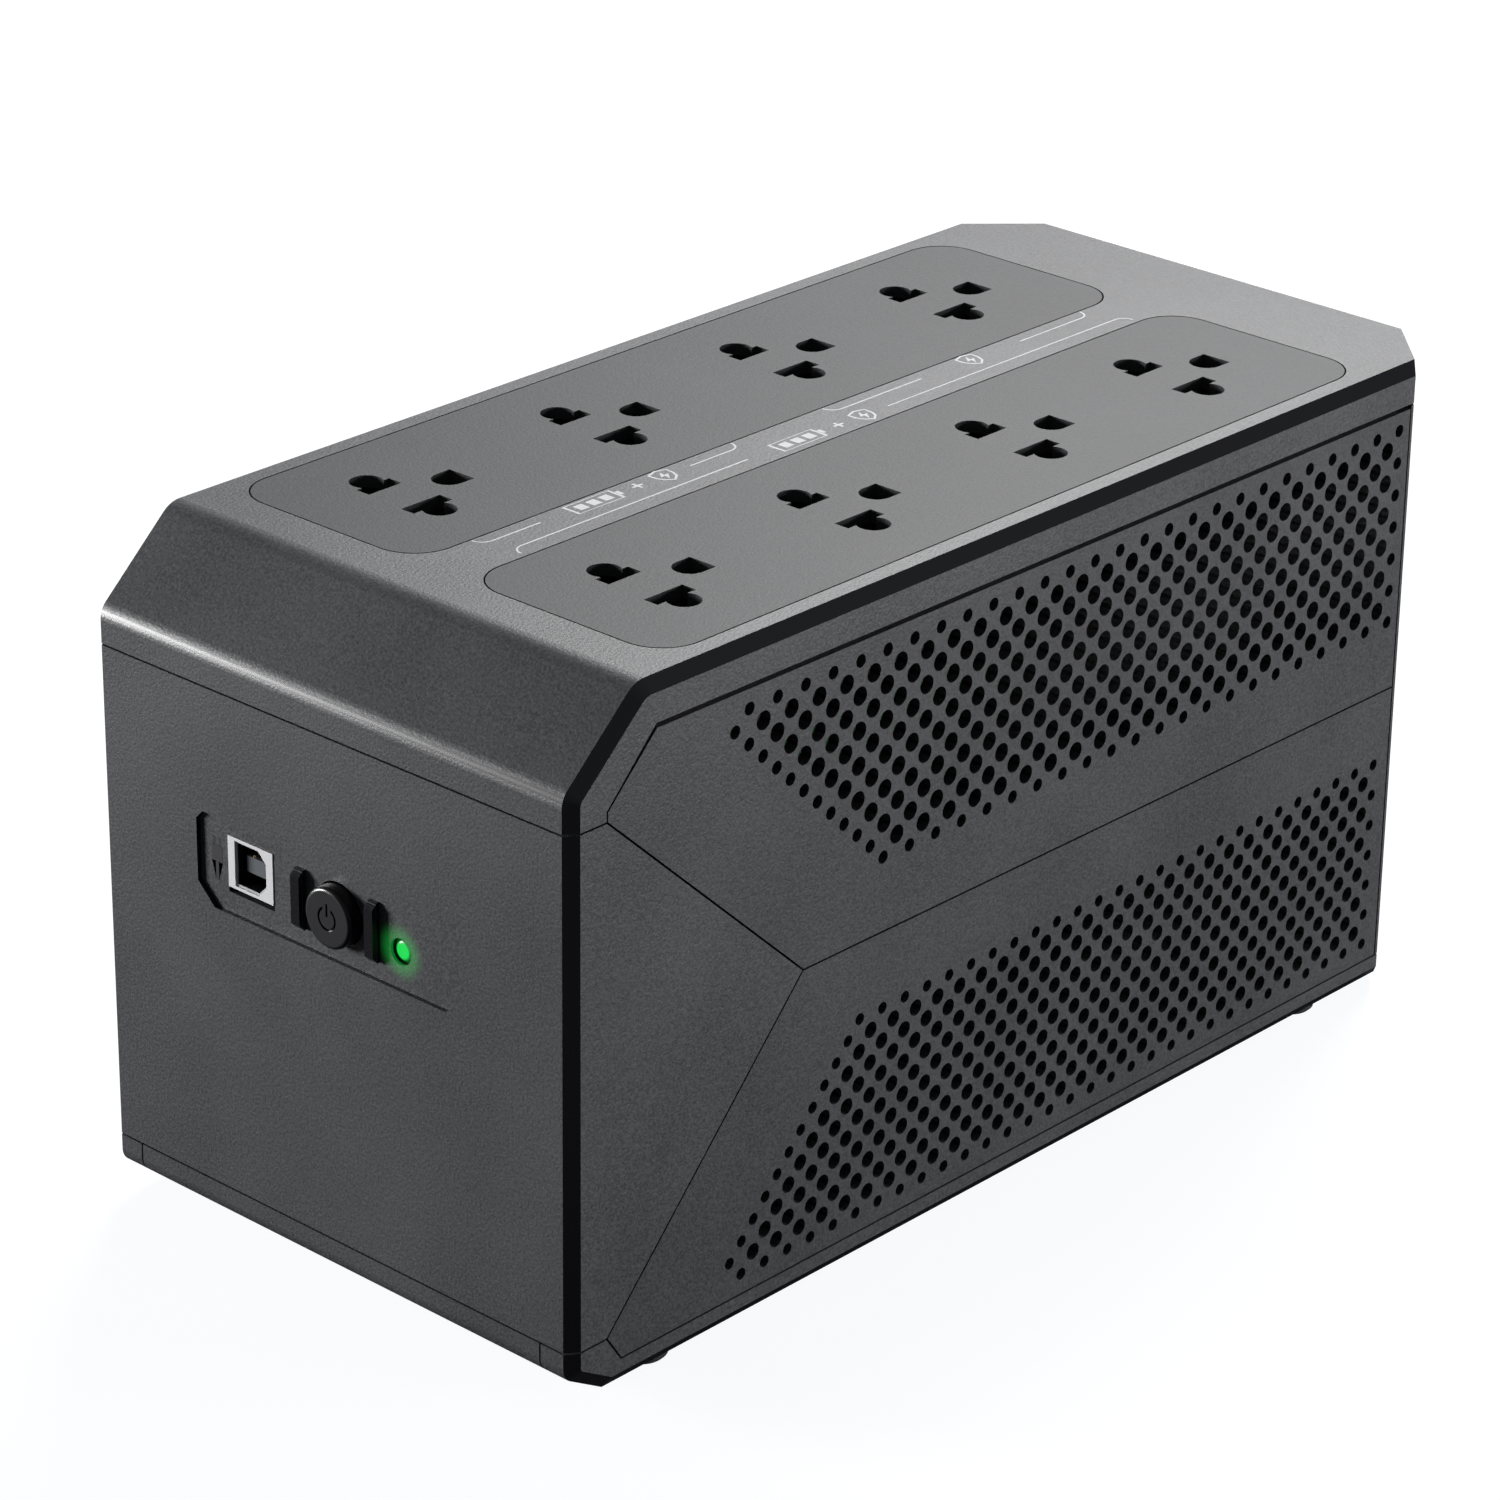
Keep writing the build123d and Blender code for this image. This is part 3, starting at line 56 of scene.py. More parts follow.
# ------------------------------------------------------------------ case mouldings
# The front panel, top cover, rear panel, base tray and battery door are injection-moulded ABS,
# through-coloured charcoal. The flat faces carry a fine spark-eroded grain. The bevels and radii
# that the grain stops at are smooth, and by the way they face they get a painted shade of near black.
def new_material(name, colour, roughness, metallic=0.0, specular=0.5):
    """A Principled material and its shader node."""
    material = bpy.data.materials.new(name)
    material.use_nodes = True
    shader = material.node_tree.nodes["Principled BSDF"]
    shader.inputs["Base Color"].default_value = (*colour, 1.0)
    shader.inputs["Roughness"].default_value = roughness
    shader.inputs["Metallic"].default_value = metallic
    shader.inputs["Specular IOR Level"].default_value = specular
    return material, shader


def add_node(material, kind, values=None, **settings):
    """A node of this kind with its settings, and with values set or linked on its inputs."""
    node = material.node_tree.nodes.new(kind)
    for name, value in settings.items():
        setattr(node, name, value)
    for key, value in (values or {}).items():
        if isinstance(value, bpy.types.NodeSocket):
            material.node_tree.links.new(value, node.inputs[key])
        else:
            node.inputs[key].default_value = value
    return node


def math_of(material, operation, *values, clamp=False):
    """The result of a Math node that does this operation."""
    node = add_node(material, "ShaderNodeMath", dict(enumerate(values)), operation=operation, use_clamp=clamp)
    return node.outputs[0]


def band(material, value, low, high, soft):
    """1 where value lies between low and high, falling to 0 over soft outside them."""
    rise = add_node(
        material, "ShaderNodeMapRange", {"Value": value, "From Min": low - soft, "From Max": low},
        interpolation_type="SMOOTHSTEP",
    )
    fall = add_node(
        material, "ShaderNodeMapRange", {"Value": value, "From Min": high, "From Max": high + soft,
                                         "To Min": 1.0, "To Max": 0.0},
        interpolation_type="SMOOTHSTEP",
    )
    return math_of(material, "MULTIPLY", rise.outputs["Result"], fall.outputs["Result"])


def mixed(material, share, first, second):
    """A colour that goes from first to second with share."""
    node = add_node(material, "ShaderNodeMix", {0: share}, data_type="RGBA")
    for socket, value in ((node.inputs[6], first), (node.inputs[7], second)):
        if isinstance(value, bpy.types.NodeSocket):
            material.node_tree.links.new(value, socket)
        else:
            socket.default_value = (*value, 1.0)
    return node.outputs[2]


def grain(material, shader, size, depth, colour, spread, share=None):
    """Fine moulded grain: bump of that size and depth, and a colour that varies by spread."""
    links = material.node_tree.links
    place = add_node(material, "ShaderNodeTexCoord").outputs["Object"]
    fine = add_node(
        material, "ShaderNodeTexNoise", {"Vector": place, "Scale": 1 / size, "Detail": 2.0, "Roughness": 0.6},
    ).outputs["Fac"]
    cloud = add_node(
        material, "ShaderNodeTexNoise", {"Vector": place, "Scale": 1 / (60 * size), "Detail": 3.0},
    ).outputs["Fac"]
    speck = math_of(material, "MULTIPLY_ADD", cloud, 0.35, fine)
    light = tuple(channel * (1 + spread) for channel in colour)
    dark = tuple(channel * (1 - spread) for channel in colour)
    shade = add_node(material, "ShaderNodeMapRange", {"Value": speck, "From Min": 0.42, "From Max": 0.92})
    tint = mixed(material, shade.outputs["Result"], dark, light)
    height = fine if share is None else math_of(material, "MULTIPLY", fine, share)
    bump = add_node(material, "ShaderNodeBump", {"Height": height, "Distance": depth, "Strength": 0.6})
    links.new(bump.outputs["Normal"], shader.inputs["Normal"])
    links.new(tint, shader.inputs["Base Color"])
    return place, tint


CHARCOAL = (0.052, 0.053, 0.057)
# painted shade: the near black painted on the bevels, the front's kink, the recess walls and the guard ribs
PAINTED_SHADE_BLACK = (0.006, 0.006, 0.008)
CASE_ROUGH = 0.44
EDGE_ROUGH = 0.25
GRAIN_SIZE = 0.55 * MM
GRAIN_DEPTH = 0.12 * MM
GRAIN_SPREAD = 0.6
# how far across, back and up a surface faces, from -1 to 1, where it is a bevel or the front's kink and gets
# painted shade
BEVEL_ACROSS = (0.45, 0.93)
BEVEL_BACK = (-1.0, 0.3)
KINK_BACK = (-1.0, -0.72)
KINK_UP = (0.28, 0.45)


def case_plastic(name, colour=CHARCOAL, roughness=CASE_ROUGH):
    """Charcoal ABS with grained faces; its bevels and kink, read from the surface's direction, are smooth and
    get a painted shade of near black.
    """
    material, shader = new_material(name, colour, roughness)
    links = material.node_tree.links
    facing = add_node(material, "ShaderNodeTexCoord").outputs["Normal"]
    parts = add_node(material, "ShaderNodeSeparateXYZ", {"Vector": facing})
    across = math_of(material, "ABSOLUTE", parts.outputs["X"])
    ahead = band(material, parts.outputs["Y"], *BEVEL_BACK, 0.1)
    bevel_shade = math_of(material, "MULTIPLY", band(material, across, *BEVEL_ACROSS, 0.05), ahead)
    forward = band(material, parts.outputs["Y"], *KINK_BACK, 0.02)
    kink_shade = math_of(material, "MULTIPLY", band(material, parts.outputs["Z"], *KINK_UP, 0.2), forward)
    # painted shade: surfaces that face like the bevels or the kink are painted near black
    painted_shade = math_of(material, "MAXIMUM", bevel_shade, kink_shade, clamp=True)
    face = math_of(material, "SUBTRACT", 1.0, painted_shade)
    place, tint = grain(material, shader, GRAIN_SIZE, GRAIN_DEPTH, colour, GRAIN_SPREAD, face)
    links.new(mixed(material, painted_shade, tint, PAINTED_SHADE_BLACK), shader.inputs["Base Color"])
    rough = math_of(material, "MULTIPLY_ADD", painted_shade, EDGE_ROUGH - roughness, roughness)
    links.new(rough, shader.inputs["Roughness"])
    return material, shader, place


def dress(material, *nodes):
    """Puts a material on CAD nodes."""
    for node in nodes:
        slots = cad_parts[node].data.materials
        slots.clear()
        slots.append(material)


case_material = case_plastic("charcoal_case_plastic")[0]
dress(case_material, "top_cover", "rear_panel", "base_tray", "battery_door")

# ------------------------------------------------------------------ side grilles
# Two perforated charcoal panels on each side, moulded in the same ABS. Their many holes are
# moulded through, so their walls have the smooth finish of the mould's pins.
GRILLE_CHARCOAL = (0.046, 0.047, 0.051)
grille_material = case_plastic("charcoal_grille_plastic", GRILLE_CHARCOAL)[0]
dress(
    grille_material, "left_upper_grille", "left_lower_grille", "right_upper_grille", "right_lower_grille",
)

# ------------------------------------------------------------------ outlets
# Two flush panels of flame-retardant plastic with a finer, duller grain than the cover. Below
# them sit dark moulded carriers and the stamped brass strips that feed the contacts.
def grained(name, colour, roughness, size, depth, spread, specular=0.5):
    """A grained material of one colour, its shader and the place that its grain reads."""
    material, shader = new_material(name, colour, roughness, specular=specular)
    place, _ = grain(material, shader, size, depth, colour, spread)
    return material, shader, place


panel_material = grained(
    "outlet_panel_plastic", (0.04, 0.041, 0.044), 0.52, 0.5 * MM, 0.1 * MM, 0.3, specular=0.32,
)[0]
dress(panel_material, "outlet_panel_left", "outlet_panel_right")

inner_material = grained("dark_inner_plastic", (0.016, 0.016, 0.018), 0.45, 0.5 * MM, 0.03 * MM, 0.2)[0]
dress(inner_material, "socket_carrier_left", "socket_carrier_right", "battery", "fan_frame")


def worn_metal(name, colour, roughness, tarnish, size=1.5 * MM):
    """Stamped or plated metal with a faint, uneven tarnish and varied polish."""
    material, shader = new_material(name, colour, roughness, metallic=1.0)
    links = material.node_tree.links
    place = add_node(material, "ShaderNodeTexCoord").outputs["Object"]
    cloud = add_node(
        material, "ShaderNodeTexNoise",
        {"Vector": place, "Scale": 1 / size, "Detail": 4.0, "Roughness": 0.65},
    ).outputs["Fac"]
    worn = add_node(material, "ShaderNodeMapRange", {"Value": cloud, "From Min": 0.35, "From Max": 0.75})
    links.new(mixed(material, worn.outputs["Result"], colour, tarnish), shader.inputs["Base Color"])
    rough = math_of(material, "MULTIPLY_ADD", cloud, 0.25, roughness - 0.12)
    links.new(rough, shader.inputs["Roughness"])
    return material


brass_material = worn_metal("contact_brass", (0.72, 0.53, 0.25), 0.32, (0.5, 0.33, 0.13))
for hand in ("left", "right"):
    dress(brass_material, f"line_bus_{hand}", f"neutral_bus_{hand}", f"earth_bus_{hand}")
dress(brass_material, "battery_terminals", "inlet_pins", "usb_contacts")

# ------------------------------------------------------------------ printing on the top cover
# Three thin brackets in pale grey pad-printing ink mark which outlets run from the battery. Each
# is a long line with a round hook at both ends and a gap that holds a small pictogram.
INK = (0.6, 0.61, 0.63)
INK_THICK = 0.03 * MM
LINE_WIDTH = 0.38 * MM
HOOK_RADIUS = 2.6 * MM

ink_material = grained("pale_printing_ink", INK, 0.6, 0.3 * MM, 0.01 * MM, 0.12)[0]
cover_low, cover_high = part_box("top_cover")
front_face = cover_low.y


def flat_print(name, outlines, surface, material):
    """Closed flat outlines, filled and raised by the ink's thickness, as one mesh piece."""
    curve = bpy.data.curves.new(name, "CURVE")
    curve.dimensions = "2D"
    curve.fill_mode = "BOTH"
    curve.extrude = INK_THICK / 2
    for outline in outlines:
        spline = curve.splines.new("POLY")
        spline.points.add(len(outline) - 1)
        for point, (x, y) in zip(spline.points, outline):
            point.co = (x, y, 0.0, 1.0)
        spline.use_cyclic_u = True
    piece = bpy.data.objects.new(name, curve)
    bpy.context.scene.collection.objects.link(piece)
    bpy.ops.object.select_all(action="DESELECT")
    piece.select_set(True)
    bpy.context.view_layer.objects.active = piece
    bpy.ops.object.convert(target="MESH")
    piece = bpy.context.view_layer.objects.active
    piece.data.transform(surface)
    piece.data.materials.clear()
    piece.data.materials.append(material)
    return piece


def stripe(points, width):
    """Outline of a band of this width that runs along the points."""
    left, right = [], []
    for index, point in enumerate(points):
        before = Vector(points[max(index - 1, 0)])
        after = Vector(points[min(index + 1, len(points) - 1)])
        along = (after - before).normalized()
        side = Vector((-along.y, along.x)) * width / 2
        left.append(tuple(Vector(point) + side))
        right.append(tuple(Vector(point) - side))
    return left + right[::-1]


def bracket(x, y_start, y_end, gap_start, gap_end, hook):
    """The two halves of a bracket along y at x, whose ends turn towards hook (+1 right, -1 left)."""
    steps = 8
    turn = [math.pi / 2 * step / steps for step in range(steps + 1)]
    radius = HOOK_RADIUS
    near = [(x + hook * radius * (1 - math.sin(t)), y_start + radius * (1 - math.cos(t))) for t in turn]
    far = [(x + hook * radius * (1 - math.sin(t)), y_end - radius * (1 - math.cos(t))) for t in turn]
    return [
        stripe(near + [(x, gap_start)], LINE_WIDTH),
        stripe([(x, gap_end)] + far[::-1], LINE_WIDTH),
    ]


def frame_of(outline, thick):
    """A closed outline and the same one drawn in by about this thickness, as a line around it."""
    middle = sum((Vector(point) for point in outline), Vector((0, 0))) / len(outline)
    inner = []
    for point in outline:
        away = Vector(point) - middle
        inner.append(tuple(middle + away * (1 - thick / away.length)))
    return [outline, inner[::-1]]


def rectangle(u, v, wide, tall):
    """Corners of an upright rectangle around a point."""
    return [(u + a * wide / 2, v + b * tall / 2) for a, b in ((-1, -1), (1, -1), (1, 1), (-1, 1))]


def battery_sign(u):
    """A battery with three bars of charge, lying along u."""
    bars = [rectangle(u + step * 3.3 * MM, 0, 2.2 * MM, 2.4 * MM) for step in (-1, 0, 1)]
    return frame_of(rectangle(u, 0, 12.4 * MM, 4.6 * MM), 0.62 * MM) + bars + [
        rectangle(u + 6.75 * MM, 0, 0.9 * MM, 1.8 * MM)
    ]


def plus_sign(u):
    """A small plus."""
    half, arm = 1.3 * MM, 0.28 * MM
    corners = ((-half, arm), (-half, -arm), (-arm, -arm), (-arm, -half), (arm, -half), (arm, -arm),
               (half, -arm), (half, arm), (arm, arm), (arm, half), (-arm, half), (-arm, arm))
    return [[(u + a, b) for a, b in corners]]


def shield_sign(u):
    """A shield with a lightning bolt in it, which stands for surge protection."""
    size = 6.0 * MM
    shield = ((0, -0.5), (0.3, -0.28), (0.42, 0.0), (0.42, 0.36),
              (0, 0.5), (-0.42, 0.36), (-0.42, 0), (-0.3, -0.28))
    bolt = ((0.07, 0.3), (-0.2, -0.03), (-0.02, -0.03), (-0.07, -0.3), (0.2, 0.05), (0.02, 0.05))
    return frame_of([(u + size * a, size * b) for a, b in shield], 0.5 * MM) + [
        [(u + size * a, size * b) for a, b in bolt]
    ]


# x, start and end of the line, start and end of its gap, hook side, signs and their places
BACKUP_SIGNS = ((battery_sign, -6.0), (plus_sign, 5.6), (shield_sign, 13.0))
BRACKETS = {
    "backup_bracket_right": (2.2, 45.0, 220.0, 108.0, 148.0, 1, BACKUP_SIGNS),
    "backup_bracket_left": (-3.2, 43.0, 112.0, 58.0, 98.0, -1, BACKUP_SIGNS),
    "surge_bracket_left": (-3.2, 138.0, 216.0, 164.0, 194.0, -1, ((shield_sign, 0.0),)),
}
print_plane = Matrix.Translation((0, 0, cover_high.z + INK_THICK / 2))
for name, (x, start, end, gap_start, gap_end, hook, signs) in BRACKETS.items():
    depths = [front_face + depth * MM for depth in (start, end, gap_start, gap_end)]
    outlines = bracket(x * MM, *depths, hook)
    middle = (depths[2] + depths[3]) / 2
    for sign, shift in signs:
        for outline in sign(shift * MM):
            outlines.append([(x * MM - v, middle + u) for u, v in outline])
    piece = flat_print(name, outlines, print_plane, ink_material)
    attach(piece, "case")

# ------------------------------------------------------------------ control panel
# The front panel's shallow recess holds the USB connector, the guarded power button and the
# light. Its walls are painted near black as painted shade. The guard ribs are smooth and painted near black,
# partly their own finish and partly painted shade. A painted glow of the light lies on its floor.
RECESS_DEPTH = 1.0 * MM
RECESS_REACH = 35.2 * MM                 # a box around the recess, from its middle to a side
RECESS_HEIGHTS = (70.4 * MM, 90.3 * MM)  # and from its bottom to its top
RIBS_PROUD = 3.0 * MM                    # more than the ribs stand out
CORNER = 0.06 * MM                       # left unpainted beside a corner
MASK_SOFT = 0.02 * MM
PAINTED_GLOW_RADII = (2.4 * MM, 7.0 * MM)        # where the painted glow of the light starts to fade, and its end
PAINTED_GLOW_STRENGTH = 0.34
PAINTED_GLOW_GREEN = (0.004, 0.42, 0.05)
usb_low, usb_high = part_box("usb_shell")
lens_low, lens_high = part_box("led_lens")
recess_floor = front_face + RECESS_DEPTH
light_x = (lens_low.x + lens_high.x) / 2
light_z = (lens_low.z + lens_high.z) / 2


def radius_from(material, parts, x, z):
    """Distance from an axis along Y through (x, z)."""
    across = math_of(material, "SUBTRACT", parts.outputs["X"], x)
    over = math_of(material, "SUBTRACT", parts.outputs["Z"], z)
    square = math_of(material, "MULTIPLY_ADD", over, over, math_of(material, "MULTIPLY", across, across))
    return math_of(material, "SQRT", square)


def repaint(material, shader, share, colour, roughness):
    """Mixes another colour and roughness into what a shader already has."""
    links = material.node_tree.links
    before = shader.inputs["Base Color"].links[0].from_socket
    links.new(mixed(material, share, before, colour), shader.inputs["Base Color"])
    rough = shader.inputs["Roughness"]
    start = rough.links[0].from_socket if rough.is_linked else rough.default_value
    node = add_node(material, "ShaderNodeMix", {0: share, 2: start, 3: roughness}, data_type="FLOAT")
    links.new(node.outputs[0], rough)


front_material, front_shader, front_place = case_plastic("charcoal_front_plastic")
front_parts = add_node(front_material, "ShaderNodeSeparateXYZ", {"Vector": front_place})
front_depth = front_parts.outputs["Y"]
from_middle = math_of(front_material, "ABSOLUTE", front_parts.outputs["X"])
zone = band(front_material, from_middle, 0.0, RECESS_REACH, MASK_SOFT / 2)
level = band(front_material, front_parts.outputs["Z"], *RECESS_HEIGHTS, MASK_SOFT / 2)
# painted shade: the recess walls and the guard ribs are painted near black
wall_shade = band(front_material, front_depth, front_face + CORNER, recess_floor - CORNER, MASK_SOFT)
ribs = band(front_material, front_depth, front_face - RIBS_PROUD, front_face - CORNER, MASK_SOFT)
dark = math_of(front_material, "MULTIPLY", zone, level)
dark = math_of(front_material, "MULTIPLY", dark, math_of(front_material, "ADD", wall_shade, ribs))
repaint(front_material, front_shader, dark, PAINTED_SHADE_BLACK, EDGE_ROUGH)
# painted light: a green glow painted as emission on the recess floor, fading away from the light
painted_glow_radius = radius_from(front_material, front_parts, light_x, light_z)
painted_glow = add_node(
    front_material, "ShaderNodeMapRange",
    {"Value": painted_glow_radius, "From Min": PAINTED_GLOW_RADII[0], "From Max": PAINTED_GLOW_RADII[1],
     "To Min": 1.0, "To Max": 0.0},
    interpolation_type="SMOOTHERSTEP",
).outputs["Result"]
floor_only = band(
    front_material, front_depth, recess_floor - CORNER / 2, recess_floor + 10 * CORNER, MASK_SOFT,
)
painted_glow = math_of(front_material, "MULTIPLY", math_of(front_material, "POWER", painted_glow, 1.6), floor_only)
front_material.node_tree.links.new(
    mixed(front_material, painted_glow, (0.0, 0.0, 0.0), PAINTED_GLOW_GREEN), front_shader.inputs["Emission Color"],
)
front_shader.inputs["Emission Strength"].default_value = PAINTED_GLOW_STRENGTH
dress(front_material, "front_panel")

# The plug sign beside the USB connector is printed in black on the recess floor.
black_ink = grained("black_printing_ink", (0.006, 0.006, 0.007), 0.55, 0.3 * MM, 0.01 * MM, 0.2)[0]
sign_x = usb_low.x - 3.2 * MM
sign_z = (usb_low.z + usb_high.z) / 2
plug_outlines = [
    rectangle(sign_x, sign_z + 0.4 * MM, 2.9 * MM, 3.4 * MM),
    rectangle(sign_x, sign_z - 3.1 * MM, 0.8 * MM, 3.8 * MM),
    rectangle(sign_x - 0.8 * MM, sign_z + 2.9 * MM, 0.65 * MM, 1.8 * MM),
    rectangle(sign_x + 0.8 * MM, sign_z + 2.9 * MM, 0.65 * MM, 1.8 * MM),
]
upright = Matrix.Translation((0, recess_floor - INK_THICK / 2, 0)) @ Matrix.Rotation(math.radians(90), 4, "X")
plug_sign = flat_print("plug_sign", plug_outlines, upright, black_ink)
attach(plug_sign, "case")

# The power button is moulded ABS in satin black. Its face is finely textured, and its rim and
# the sunken power symbol are smooth.
button_low, button_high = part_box("power_button")
button_material, button_shader, button_place = grained(
    "satin_button_plastic", (0.014, 0.014, 0.016), 0.36, 0.3 * MM, 0.03 * MM, 0.12,
)
button_parts = add_node(button_material, "ShaderNodeSeparateXYZ", {"Vector": button_place})
below_face = band(
    button_material, button_parts.outputs["Y"], button_low.y + CORNER, button_high.y, 0.03 * MM,
)
repaint(button_material, button_shader, below_face, (0.004, 0.004, 0.005), 0.25)
dress(button_material, "power_button", "breaker_button")

# The USB connector has a shell of tin-plated steel, a black insulator with a grey tongue and a
# pale front rim, and brass contacts. It stands through the recess, soldered to the control board.
shell_material = worn_metal("tinned_shell", (0.78, 0.78, 0.8), 0.42, (0.66, 0.66, 0.68), 0.8 * MM)
shell_material.node_tree.nodes["Principled BSDF"].inputs["Metallic"].default_value = 0.3
dress(shell_material, "usb_shell")
TONGUE_REACH = (2.75 * MM, 1.65 * MM)
RIM_DEPTH = 0.45 * MM
insulator_material, insulator_shader, insulator_place = grained(
    "usb_insulator_plastic", (0.005, 0.005, 0.006), 0.4, 0.3 * MM, 0.02 * MM, 0.2,
)
insulator_parts = add_node(insulator_material, "ShaderNodeSeparateXYZ", {"Vector": insulator_place})
usb_x = (usb_low.x + usb_high.x) / 2
tongue = math_of(
    insulator_material, "MULTIPLY",
    band(insulator_material, insulator_parts.outputs["X"],
         usb_x - TONGUE_REACH[0], usb_x + TONGUE_REACH[0], MASK_SOFT),
    band(insulator_material, insulator_parts.outputs["Z"],
         sign_z - TONGUE_REACH[1], sign_z + TONGUE_REACH[1], MASK_SOFT),
)
repaint(insulator_material, insulator_shader, tongue, (0.1, 0.11, 0.12), 0.4)
rim = band(
    insulator_material, insulator_parts.outputs["Y"], usb_low.y, usb_low.y + RIM_DEPTH, MASK_SOFT,
)
repaint(insulator_material, insulator_shader, rim, (0.4, 0.4, 0.42), 0.42)
dress(insulator_material, "usb_insulator")

# The light is a green diode behind a frosted lens, bright in the middle and dark at the rim.
LENS_BRIGHT = (0.008, 0.56, 0.07)
LENS_RIM = (0.0, 0.06, 0.005)
lens_material, lens_shader, lens_place = grained(
    "lit_green_lens", (0.01, 0.2, 0.03), 0.3, 0.25 * MM, 0.01 * MM, 0.1,
)
lens_parts = add_node(lens_material, "ShaderNodeSeparateXYZ", {"Vector": lens_place})
lens_radius = radius_from(lens_material, lens_parts, light_x, light_z)
lens_fall = add_node(
    lens_material, "ShaderNodeMapRange",
    {"Value": lens_radius, "From Min": 1.3 * MM, "From Max": 1.95 * MM, "To Min": 0.0, "To Max": 1.0},
    interpolation_type="SMOOTHSTEP",
).outputs["Result"]
lens_material.node_tree.links.new(
    mixed(lens_material, lens_fall, LENS_BRIGHT, LENS_RIM), lens_shader.inputs["Emission Color"],
)
lens_shader.inputs["Emission Strength"].default_value = 1.0
dress(lens_material, "led_lens", "led")

# Behind the recess sits the control board with the push switch, held by four screws.
black_part = grained("moulded_black_epoxy", (0.014, 0.014, 0.015), 0.4, 0.35 * MM, 0.02 * MM, 0.25)[0]
dress(
    black_part, "switch_body", "switch_plunger", "mains_inlet", "breaker_body", "power_transistors",
    "fan_rotor",
)
dress(worn_metal("spring_wire", (0.6, 0.6, 0.62), 0.25, (0.45, 0.45, 0.46), 0.6 * MM), "button_spring")
zinc_material = worn_metal("zinc_plated_steel", (0.55, 0.55, 0.56), 0.35, (0.42, 0.42, 0.4), 1.2 * MM)
dress(zinc_material, "control_board_screws", "board_screws", "transformer_screws", "transformer_bracket")
SOLDER_MASK = (0.02, 0.14, 0.045)


def board_laminate(name, tracks_along):
    """Green solder mask over copper tracks that run along one axis, with pale pads between them."""
    material, shader = new_material(name, SOLDER_MASK, 0.28)
    links = material.node_tree.links
    place, tint = grain(material, shader, 0.4 * MM, 0.01 * MM, SOLDER_MASK, 0.12)
    waves = add_node(
        material, "ShaderNodeTexWave",
        {"Vector": place, "Scale": 120.0, "Distortion": 5.0, "Detail": 1.0, "Detail Scale": 0.6},
        bands_direction=tracks_along,
    ).outputs["Fac"]
    track = add_node(material, "ShaderNodeMapRange", {"Value": waves, "From Min": 0.62, "From Max": 0.68})
    pads = add_node(material, "ShaderNodeTexVoronoi", {"Vector": place, "Scale": 260.0}).outputs["Distance"]
    pad = add_node(material, "ShaderNodeMapRange", {"Value": pads, "From Min": 0.24, "From Max": 0.2})
    green = mixed(material, track.outputs["Result"], tint, (0.05, 0.26, 0.08))
    links.new(mixed(material, pad.outputs["Result"], green, (0.5, 0.5, 0.48)), shader.inputs["Base Color"])
    return material


dress(board_laminate("control_board_laminate", "X"), "control_board")

# ------------------------------------------------------------------ rear
# The fan, the mains inlet and the resettable breaker fit the rear panel. The fan is held by four
# black zinc-plated screws from outside.
black_zinc = worn_metal("black_zinc_steel", (0.07, 0.07, 0.075), 0.38, (0.04, 0.04, 0.042), 1.0 * MM)
dress(black_zinc, "fan_screws", "cover_screws")

# ------------------------------------------------------------------ battery and its leads
# The sealed battery is wedged in its bay by foam pads. Flag connectors of natural nylon carry
# a red and a black PVC lead over to the main board.
foam_material = grained("dense_black_foam", (0.02, 0.02, 0.02), 0.95, 0.9 * MM, 0.3 * MM, 0.35)[0]
dress(foam_material, "battery_pads")
nylon_material, nylon_shader, _ = grained(
    "natural_nylon", (0.6, 0.57, 0.48), 0.4, 0.6 * MM, 0.02 * MM, 0.06,
)
nylon_shader.inputs["Subsurface Weight"].default_value = 0.15
nylon_shader.inputs["Subsurface Radius"].default_value = (0.002, 0.002, 0.0015)
dress(nylon_material, "battery_connectors", "board_spacers", "transformer_bobbin")
for lead, colour in (("black", (0.012, 0.012, 0.013)), ("red", (0.35, 0.012, 0.01))):
    pvc_material = grained(f"{lead}_pvc", colour, 0.5, 0.8 * MM, 0.03 * MM, 0.12)[0]
    dress(pvc_material, f"battery_lead_{lead}")

# ------------------------------------------------------------------ main board and its parts
# The board stands on the bay's side wall. It carries relays in blue cases, sleeved capacitors, a
# black anodised heat sink with four transistors, a wound choke and green screw terminals.
dress(board_laminate("main_board_laminate", "Y"), "main_board")
for name, colour, rough, node in (
    ("relay_case_plastic", (0.03, 0.08, 0.3), 0.3, "relays"),
    ("terminal_plastic", (0.02, 0.22, 0.06), 0.35, "board_terminals"),
):
    dress(grained(name, colour, rough, 0.5 * MM, 0.02 * MM, 0.12)[0], node)

sleeve_material, sleeve_shader, _ = grained(
    "capacitor_sleeve", (0.02, 0.03, 0.07), 0.3, 0.5 * MM, 0.01 * MM, 0.1,
)
sleeve_facing = add_node(sleeve_material, "ShaderNodeTexCoord").outputs["Normal"]
sleeve_parts = add_node(sleeve_material, "ShaderNodeSeparateXYZ", {"Vector": sleeve_facing})
pale_stripe = band(sleeve_material, sleeve_parts.outputs["Z"], 0.92, 1.1, 0.01)
bare_end = band(sleeve_material, sleeve_parts.outputs["X"], 0.9, 1.1, 0.05)
repaint(sleeve_material, sleeve_shader, pale_stripe, (0.45, 0.47, 0.5), 0.35)
repaint(sleeve_material, sleeve_shader, bare_end, (0.5, 0.5, 0.52), 0.25)
dress(sleeve_material, "capacitors")


